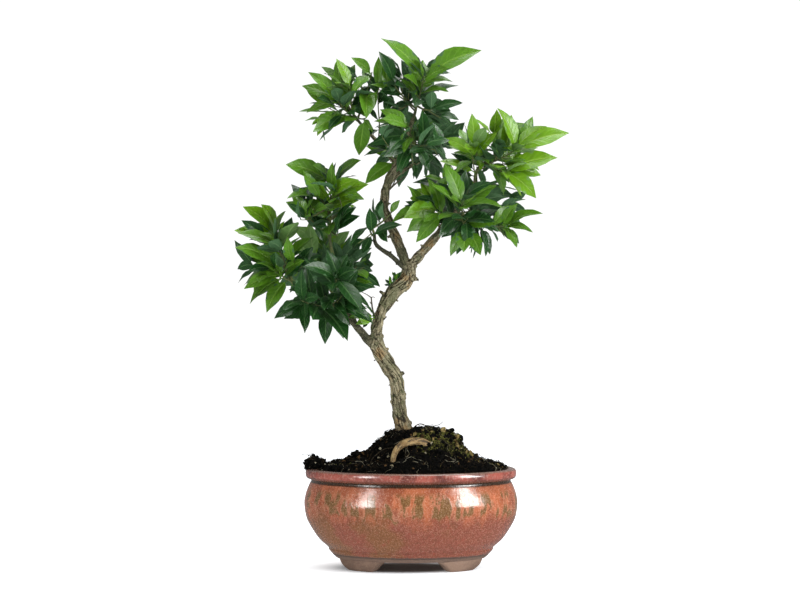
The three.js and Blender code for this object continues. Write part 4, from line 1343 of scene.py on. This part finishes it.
bladePlan = {
    "along": [0, 0.05, 0.11, 0.2, 0.33, 0.48, 0.63, 0.77, 0.89, 1],  # rings, as shares of the length
    "width": [0.07, 0.06, 0.08, 0.62, 0.98, 1.1, 1.02, 0.76, 0.37, 0],
    "thickness": 0.32,
    "fold": (8, 30),  # degrees that each half lifts
    "arch": (0.6, 2.0),  # of the plan's arch
    "wave": 0.45,
    "sway": 0.08,
    "droop": 0.36,  # how far a leaf that lies on its edge bends towards the ground
    "slimness": (0.8, 1),  # of the plan's width
    "twist": 0.7,
}
acrossTop = np.array([-1, -0.5, 0, 0.5, 1, 0.5, 0, -0.5])  # round a section: over the top, back below
isBelow = np.array([0, 0, 0, 0, 0, 1, 1, 1])


def bladeGrid(leaves, draw):
    def column(values):
        return np.array(values, float).reshape(len(leaves), 1, 1, -1)

    def between(low, high):
        return column([low + (high - low) * draw() for _ in leaves])

    keys = ("root", "way", "up", "side", "slip", "length", "isLeading")
    root, way, up, side, slip, length, held = (column([leaf[key] for leaf in leaves]) for key in keys)
    fold = np.radians(between(*bladePlan["fold"]))
    # a leading leaf keeps the solids' arch
    arch = (between(*bladePlan["arch"]) * (1 - held) + held) * leafPlan["arch"]
    sway = between(-bladePlan["sway"], bladePlan["sway"])
    twist = between(-bladePlan["twist"], bladePlan["twist"])
    phase = between(0, 6.28)
    t = np.array(bladePlan["along"]).reshape(1, -1, 1, 1)
    half = np.array(bladePlan["width"]).reshape(1, -1, 1, 1) * length * leafPlan["width"] / 2
    half = half * between(*bladePlan["slimness"])
    v = acrossTop.reshape(1, 1, -1, 1)
    below = isBelow.reshape(1, 1, -1, 1)
    blade = smooth(t, 0.08, 0.3)
    across = v * half * np.cos(fold * blade)
    lift = np.abs(v) * half * np.sin(fold * blade) - 0.1 * half * v**2
    lift = lift + bladePlan["wave"] * np.abs(v) * blade * np.sin(t * 13 + phase + 1.3 * np.sign(v))
    stalk = 1 - blade
    thick = bladePlan["thickness"] * (1 - np.abs(v) ** 2 * blade) + stalk * 0.45
    lift = lift + thick * (0.5 - below) * (np.abs(v) < 1)
    turned = twist * t
    sideways = across * np.cos(turned) - lift * np.sin(turned)
    upward = across * np.sin(turned) + lift * np.cos(turned)
    bend = sway * t**2 + bladePlan["droop"] * side[..., 2:] * (t - t**2)
    grid = root + slip * (1 - t) ** 4 + way * length * t + side * (sideways + bend * length)
    return grid + up * (upward - arch * length * t**2)


def leafMesh(name, leaves, draw):
    grid = bladeGrid(leaves, draw)
    count, rings, sides = grid.shape[:3]
    tips = grid[:, -1:, 0]
    roots = grid[:, 0].mean(axis=1)[:, None]
    points = np.concatenate([grid[:, :-1].reshape(count, -1, 3), roots, tips], axis=1)
    _, quads, triangles = closedRings(grid[0, :-1], roots[0, 0], tips[0, 0])
    each = points.shape[1]
    offsets = (np.arange(count) * each)[:, None, None]
    mesh = buildMesh(name, points.reshape(-1, 3), quads[None] + offsets, triangles[None] + offsets)
    along = np.concatenate([np.repeat(bladePlan["along"][:-1], sides), [0, 1]])
    across = np.concatenate([np.tile(acrossTop, rings - 1), [0, 0]])
    paintLeaves(mesh, leaves, along, across, sides)
    creaseLeaves(mesh, each, sides)
    return mesh


# Gives each face its tint and side, and the mesh a map of along and across each leaf.
def paintLeaves(mesh, leaves, along, across, sides):
    under = np.arange(sides) >= 4
    tints = np.array([leaf["tint"] for leaf in leaves])[:, None]
    slots = np.where(under, len(leafColours["upper"]) + (tints > 1), tints)
    bands = len(along) // sides - 1
    indices = np.concatenate([np.tile(slots, bands).ravel(), np.tile(slots, 2).ravel()])
    mesh.polygons.foreach_set("material_index", indices.astype(np.int32))
    corners = np.empty(len(mesh.loops), np.int32)
    mesh.loops.foreach_get("vertex_index", corners)
    corners %= len(along)
    layer = mesh.uv_layers.new(name="leafMap")
    layer.uv.foreach_set("vector", np.stack([along[corners], across[corners] / 2 + 0.5], -1).ravel())


# Sharp edges round the margin and along the midrib's upper side.
def creaseLeaves(mesh, each, sides):
    ends = np.empty(len(mesh.edges) * 2, np.int32)
    mesh.edges.foreach_get("vertices", ends)
    first, second = np.sort(ends.reshape(-1, 2) % each, axis=1).T
    column = first % sides
    tip = (second == each - 1) & (first < each - 2)
    lengthwise = ((second - first == sides) & (second < each - 2)) | tip
    sharp = lengthwise & np.isin(column, (0, 2, 4)) & (first >= sides * 2)
    mesh.attributes.new("sharp_edge", "BOOLEAN", "EDGE").data.foreach_set("value", sharp)


leafColours = {
    # tints are partly leaf age and partly painted light and shade: upper and outer sprays lit, the others
    # shaded
    "upper": {  # tint 0 to 3: base colour and vein colour
        "leaf_deep": ((0.011, 0.054, 0.008), (0.08, 0.18, 0.05)),
        "leaf_mid": ((0.078, 0.2, 0.01), (0.18, 0.34, 0.045)),
        "leaf_bright": ((0.13, 0.29, 0.008), (0.25, 0.42, 0.05)),
        "leaf_fresh": ((0.19, 0.36, 0.008), (0.36, 0.54, 0.07)),
    },
    # the pale underside goes with tints 2 and 3, so it too is partly painted light
    "under": {
        "under_deep": ((0.06, 0.135, 0.055), (0.13, 0.24, 0.1)),
        "under_pale": ((0.15, 0.28, 0.075), (0.26, 0.4, 0.14)),
    },
}


def paintLeaf(base, vein, isUnder):
    def paint(kit, place):
        spot = kit.node("ShaderNodeUVMap", {"uv_map": "leafMap"})
        across = (spot.part("Y") * 2 - 1).magnitude()
        midrib = across.rise(0.13, 0.05)
        angle = (spot.part("X") - across * 0.22) * 50
        wave = kit.node("ShaderNodeMath", {"operation": "SINE"}, {0: angle})
        veins = wave.rise(0.6, 1.0) * across.rise(0.95, 0.5)
        mottle = place.noise(150, 2)
        colour = kit.coats(
            base,
            (wave.rise(0.2, -1.0) * 0.12 + mottle.rise(0.42, 0.7) * 0.35, tuple(c * 0.5 for c in base)),
            (veins * 0.12 + midrib * 0.6 + across.rise(0.9, 1.0) * 0.3, vein),
        )
        relief = (midrib * 0.8 + veins * 0.35) * (1 if isUnder else -1) + place.noise(800, 2) * 0.2
        roughness = (0.5 if isUnder else 0.23) + mottle * 0.14
        return kit.finish(colour, roughness, (relief, 0.4, 0.9), 0.15 if isUnder else 0.3)
    return paint


def paintTwig(kit, place):
    fine = place.noise(800, 2)
    colour = kit.mix(place.noise(90, 2).rise(0.4, 0.6), (0.07, 0.085, 0.03), (0.14, 0.17, 0.05))
    colour = kit.mix(fine.rise(0.55, 0.75) * 0.5, colour, (0.26, 0.24, 0.13))
    return kit.finish(colour, 0.6, (fine, 0.3, 0.7), 0.3)


def makeFoliage():
    paints = [makeMaterial(name, paintLeaf(*colours, side == "under"))
              for side, kinds in leafColours.items() for name, colours in kinds.items()]
    twigLines = []
    total = 0
    for number, mass in enumerate(masses):
        stem, shoots, tints, grown = growMass(number)
        solidLeaves = len(grown)
        twigs = growFiner(number, shoots, tints, grown)
        name = "foliage_" + mass["name"].split("_", 1)[1]
        mesh = leafMesh(name, grown, seeded(mass["seed"] + 2000))
        piece = placeObject(name, mesh, *paints)
        finishPiece(piece, "foliage", mass["name"])
        twigLines += twigsOf(mass, stem, shoots, twigs)
        total += len(grown)
        print(name + ":", solidLeaves, "leaves of the rule and", len(grown) - solidLeaves, "finer ones")
    twigLines += [taperedLine(points, 0.7, 0.4) for points in innerTwigs]
    twigMaterial = makeMaterial("green_twig", paintTwig)
    finishPiece(tubesAlong("twigs", twigLines, 6, twigMaterial), "foliage")
    print("leaves in all:", total)
    makeSmallThings(paints)


def twigsOf(mass, stem, shoots, twigs):
    before, tip = np.array(limbs[mass["bough"]], float)[-2:, :3]
    thick = limbs[mass["bough"]][-1][3] * 0.9
    root = tip - unit(tip - before) * 2
    shares = np.linspace(0, 1, 13)
    stemGirth = np.concatenate([[thick], thick + (1 - thick) * shares])
    lines = [(np.concatenate([[root], bowed(stem, shares)]), stemGirth)]
    lines += [(bowed(bow, shares), twigPlan["shoot"] * (1 - 0.55 * shares)) for bow in shoots]
    lines += [(bowed(bow, np.linspace(0, 1, 6)), np.linspace(0.5, 0.3, 6)) for bow in twigs]
    return lines


# Small things, listed one by one: a sprig and a sprout on the trunk, dead twigs, and loose roots on the soil

sprigLeaves = [  # root, tip and tint
    ((-23, -5, 211), (-44, -13, 210), 1), ((-23, -5, 209.5), (-37.5, -17, 204.5), 2),
    ((-23.5, -4.5, 212), (-31, -12, 219), 0), ((-24, -5, 210), (-33, -1, 201), 0),
    ((-10, -3, 237), (-14.5, -6, 242), 0), ((-9.5, -4, 238), (-11, -7, 245.5), 1),
    ((-7, -4, 240), (-7, -8, 248.5), 0), ((-6, -4, 241), (-3.5, -9, 247.5), 1),
    ((-4, -4, 242.5), (-0.5, -7, 249), 0), ((-8, -5, 239), (-5, -12, 242), 0),
    ((-10, -4, 237), (-15, -3, 237.5), 0), ((-5, -3, 242), (-8, 1, 249), 1),
]
innerTwigs = [  # finer twigs between the masses, and the leaves on them
    [(62, 1, 324), (61, -12, 328), (59.5, -17, 338), (58.3, -16, 346)],
    [(46, -2.5, 300.5), (41, -9, 310), (37, -16, 321.6)],
    [(36, -11, 284.5), (26, -15, 292), (18, -17, 300.5)],
    [(11, 2, 384), (0, -7, 394), (-12, -11, 399), (-20, -12, 400.6)],
    [(-20, 1, 357), (-19, -3, 372), (-20, -6, 388), (-20, -8, 402)],
]
innerLeaves = [
    ((-6, -2, 341), (-29.1, -10, 321.5), 1), ((-7, -2, 343.5), (-29, -9, 354.4), 1),
    ((58.3, -16, 346), (35.8, -22, 358.7), 2), ((61, -15, 331), (31.5, -24, 339.5), 2),
    ((60.5, -14, 333), (40, -12, 346), 0), ((61, -12, 328), (36, -14, 329), 0),
    ((58.6, -16, 344), (66, -24, 362), 2), ((59, -17, 341), (44, -28, 330), 1),
    ((37, -16, 321.6), (17.6, -19, 326.6), 1), ((38, -14, 318), (9.2, -14, 322.4), 0),
    ((39, -12, 314), (22, -20, 309), 0), ((37.2, -15.5, 321), (38, -22, 341), 1),
    ((18.5, -17, 300), (-8.4, -22, 290.5), 1), ((30, -13, 288.5), (4.2, -22, 282), 1),
    ((18, -17, 300.5), (4.7, -17, 320.2), 1), ((22, -16, 296.5), (2, -14, 303), 0),
    ((-3, -8, 396), (-26.4, -15, 403.9), 1), ((-20, -12, 400.6), (-30.7, -14, 379.1), 1),
    ((-12, -11, 399), (-16, -18, 422), 1), ((-8, -10, 397.5), (-14, -22, 381), 0),
    ((-19.3, -4, 375), (-33, -12, 385), 0), ((-19.5, -4, 377), (-5, -10, 384), 0),
    ((-19, -3, 370), (-9, -14, 360), 0), ((-19.2, -2, 368), (-33, -8, 360), 0),
    ((-20, -6, 388), (-9, -4, 405), 0), ((-20, -7, 396), (-30, -2, 416), 0),
    ((-20, -8, 402), (-18, -10, 428), 1), ((-20, -8, 401), (-4, -6, 417), 0),
]
deadTwigs = [  # points and the girth at both ends
    ([(-21, -2, 210), (-24.2, -3, 215), (-25.4, -4, 222.5), (-25.8, -4, 227)], 0.9, 0.55),
    ([(-25.8, -4, 227), (-30.3, -5, 230), (-35.2, -7, 232.2)], 0.5, 0.2),
    ([(-25.8, -4, 227), (-24.4, -5, 227.6), (-22.6, -6, 227)], 0.4, 0.2),
    ([(-25.2, -4, 221), (-27, -6, 223.5)], 0.5, 0.3),
    ([(-13, 1, 315.5), (-8.6, -1, 320), (-2.5, -3, 325), (2.6, -5, 329)], 1.1, 0.45),
    ([(-8.6, -1, 320), (-5, 2, 327)], 0.6, 0.3),
    ([(-17, 0, 207), (-13, -9, 211)], 0.8, 0.4),
]
looseRoots = [
    ([(8, -9, 113), (10.6, -9, 119), (15.1, -9, 121.4), (19.9, -8, 119.8), (24.5, -8, 115)], 0.5, 0.3),
    ([(21, -10, 114), (24.3, -11, 118.8), (31.2, -12, 121), (34.2, -13, 123.6)], 0.42, 0.2),
    ([(27, -18, 109), (33, -24, 109.5), (40, -29, 103), (44, -33, 94)], 0.35, 0.15),
    ([(-8, -30, 103), (-16, -36, 101.5), (-24, -41, 95), (-27, -45, 88)], 0.35, 0.15),
    ([(75.5, -8, 86), (74.6, -9, 92), (76, -10, 98)], 0.2, 0.1),
    ([(-72, -4, 92), (-80, -5, 95.6), (-86, -6, 94.4), (-91.5, -7, 89)], 0.2, 0.1),
    ([(-74, -10, 91), (-79, -13, 96), (-84, -14, 96.5)], 0.2, 0.1),
    ([(50, -20, 96), (58, -28, 93), (66, -30, 88)], 0.3, 0.15),
]


# Dry wood, dark in its pores.
def paintDry(scale, dark, light, specular):
    def paint(kit, place):
        fine = place.noise(scale, 3, 0.6)
        return kit.finish(kit.mix(fine.rise(0.35, 0.65), dark, light), 0.85, (fine, 0.4, 1.0), specular)
    return paint


def leafBetween(root, tip, tint):
    leaf = leafTo(np.array(root, float), np.array(tip, float))
    return {**leaf, "slip": np.zeros(3), "tint": tint, "isLeading": 1}


def makeSmallThings(paints):
    for name, table in (("trunk_sprigs", sprigLeaves), ("inner_leaves", innerLeaves)):
        leaves = [leafBetween(*ends) for ends in table]
        finishPiece(placeObject(name, leafMesh(name, leaves, seeded(9)), *paints), "foliage")
    deadBark = makeMaterial("dead_twig", paintDry(700, (0.025, 0.02, 0.013), (0.13, 0.115, 0.075), 0.2))
    dead = tubesAlong("dead_twigs", [taperedLine(*twig) for twig in deadTwigs], 8, deadBark)
    finishPiece(dead, "bark")
    looseBark = makeMaterial("loose_root", paintDry(500, (0.008, 0.006, 0.004), (0.06, 0.045, 0.025), 0.15))
    loose = tubesAlong("loose_roots", [taperedLine(*root) for root in looseRoots], 8, looseBark)
    finishPiece(loose, "root_bark")


# Floor, light and camera

stagePlan = {
    "cameraX": -1.6,  # mm
    "distance": 1750,
    "height": 225,
    "lens": 93.64,
    "air": 0.06,  # light from all round
    "mirrored": 0.24,  # how bright the surroundings look in glossy surfaces
    "lights": {  # place and aim in metres, size, strength
        "rightBox": ((1.06, -0.74, 0.82), (0, 0, 0.12), (0.34, 0.6), 13),
        "leftBox": ((-0.86, -0.98, 0.82), (0, 0, 0.12), (0.22, 0.6), 5),
        "rightGlint": ((1.03, -0.7, 0.36), (0, 0, 0.06), (0.5, 0.34), 10),  # in mirror images only
        "leftGlint": ((-0.86, -1.02, 0.36), (0, 0, 0.06), (0.3, 0.34), 6),
        "front": ((0.5, -1.6, 1.5), (0, 0, 0.25), (0.9, 0.7), 8),
        "top": ((0.25, 0.15, 1.7), (0, 0, 0.2), (1.1, 0.9), 25),
    },
}


# The floor glows away from the pot, so it is as pale as its surroundings.
def paintFloor(kit, place):
    away = kit.node("ShaderNodeVectorMath", {"operation": "LENGTH"}, {0: place * (0.65, 1, 1)}, 1)
    glow = away.rise(0.024, 0.052) * 0.75 + away.rise(0.3, 1.2) * 0.25
    return {
        "Base Color": (0.8, 0.86, 0.92, 1),
        "Roughness": 0.7,
        "Specular IOR Level": 0.1,
        "Emission Color": kit.mix(glow, (0, 0, 0), (1, 1, 1)),
        "Emission Strength": 1.0,
    }


def makeStage():
    mesh = bpy.data.meshes.new("floor")
    mesh.from_pydata([(-6, -6, 0), (6, -6, 0), (6, 6, 0), (-6, 6, 0)], [], [(0, 1, 2, 3)])
    floor = placeObject("floor", mesh, makeMaterial("pale_floor", paintFloor))
    floor.visible_glossy = False
    for name, (place, aim, size, power) in stagePlan["lights"].items():
        light = bpy.data.lights.new(name, "AREA")
        light.shape = "RECTANGLE"
        light.size, light.size_y = size
        light.energy = power
        lamp = placeObject(name, light)
        lamp.location = place
        lamp.visible_glossy = name != "front"
        lamp.visible_diffuse = not name.endswith("Glint")
        lamp.rotation_euler = (Vector(aim) - Vector(place)).to_track_quat("-Z", "Y").to_euler()
    world = bpy.data.worlds.new("studio")
    world.use_nodes = True
    world.node_tree.nodes.clear()
    kit = Wire(world.node_tree)
    path = kit.node("ShaderNodeLightPath")
    shown = path.output("Is Camera Ray") + path.output("Is Glossy Ray") * stagePlan["mirrored"]
    strength = stagePlan["air"] + shown
    light = kit.node("ShaderNodeBackground", {}, {"Color": (1, 1, 1, 1), "Strength": strength})
    end = world.node_tree.nodes.new("ShaderNodeOutputWorld")
    world.node_tree.links.new(light.socket, end.inputs["Surface"])
    bpy.context.scene.world = world
    camera = bpy.data.cameras.new("camera")
    camera.lens = stagePlan["lens"]
    camera.sensor_width = 36
    view = placeObject("camera", camera)
    view.location = Vector((stagePlan["cameraX"], -stagePlan["distance"], stagePlan["height"])) * mm
    view.rotation_euler = (math.pi / 2, 0, 0)
    bpy.context.scene.camera = view
    bpy.context.scene.view_settings.view_transform = "Standard"


makeStage()
makePot()
makeFeet()
strewSoil(makeSoil())
makeSurfaceRoot()
makeWood()
makeFoliage()
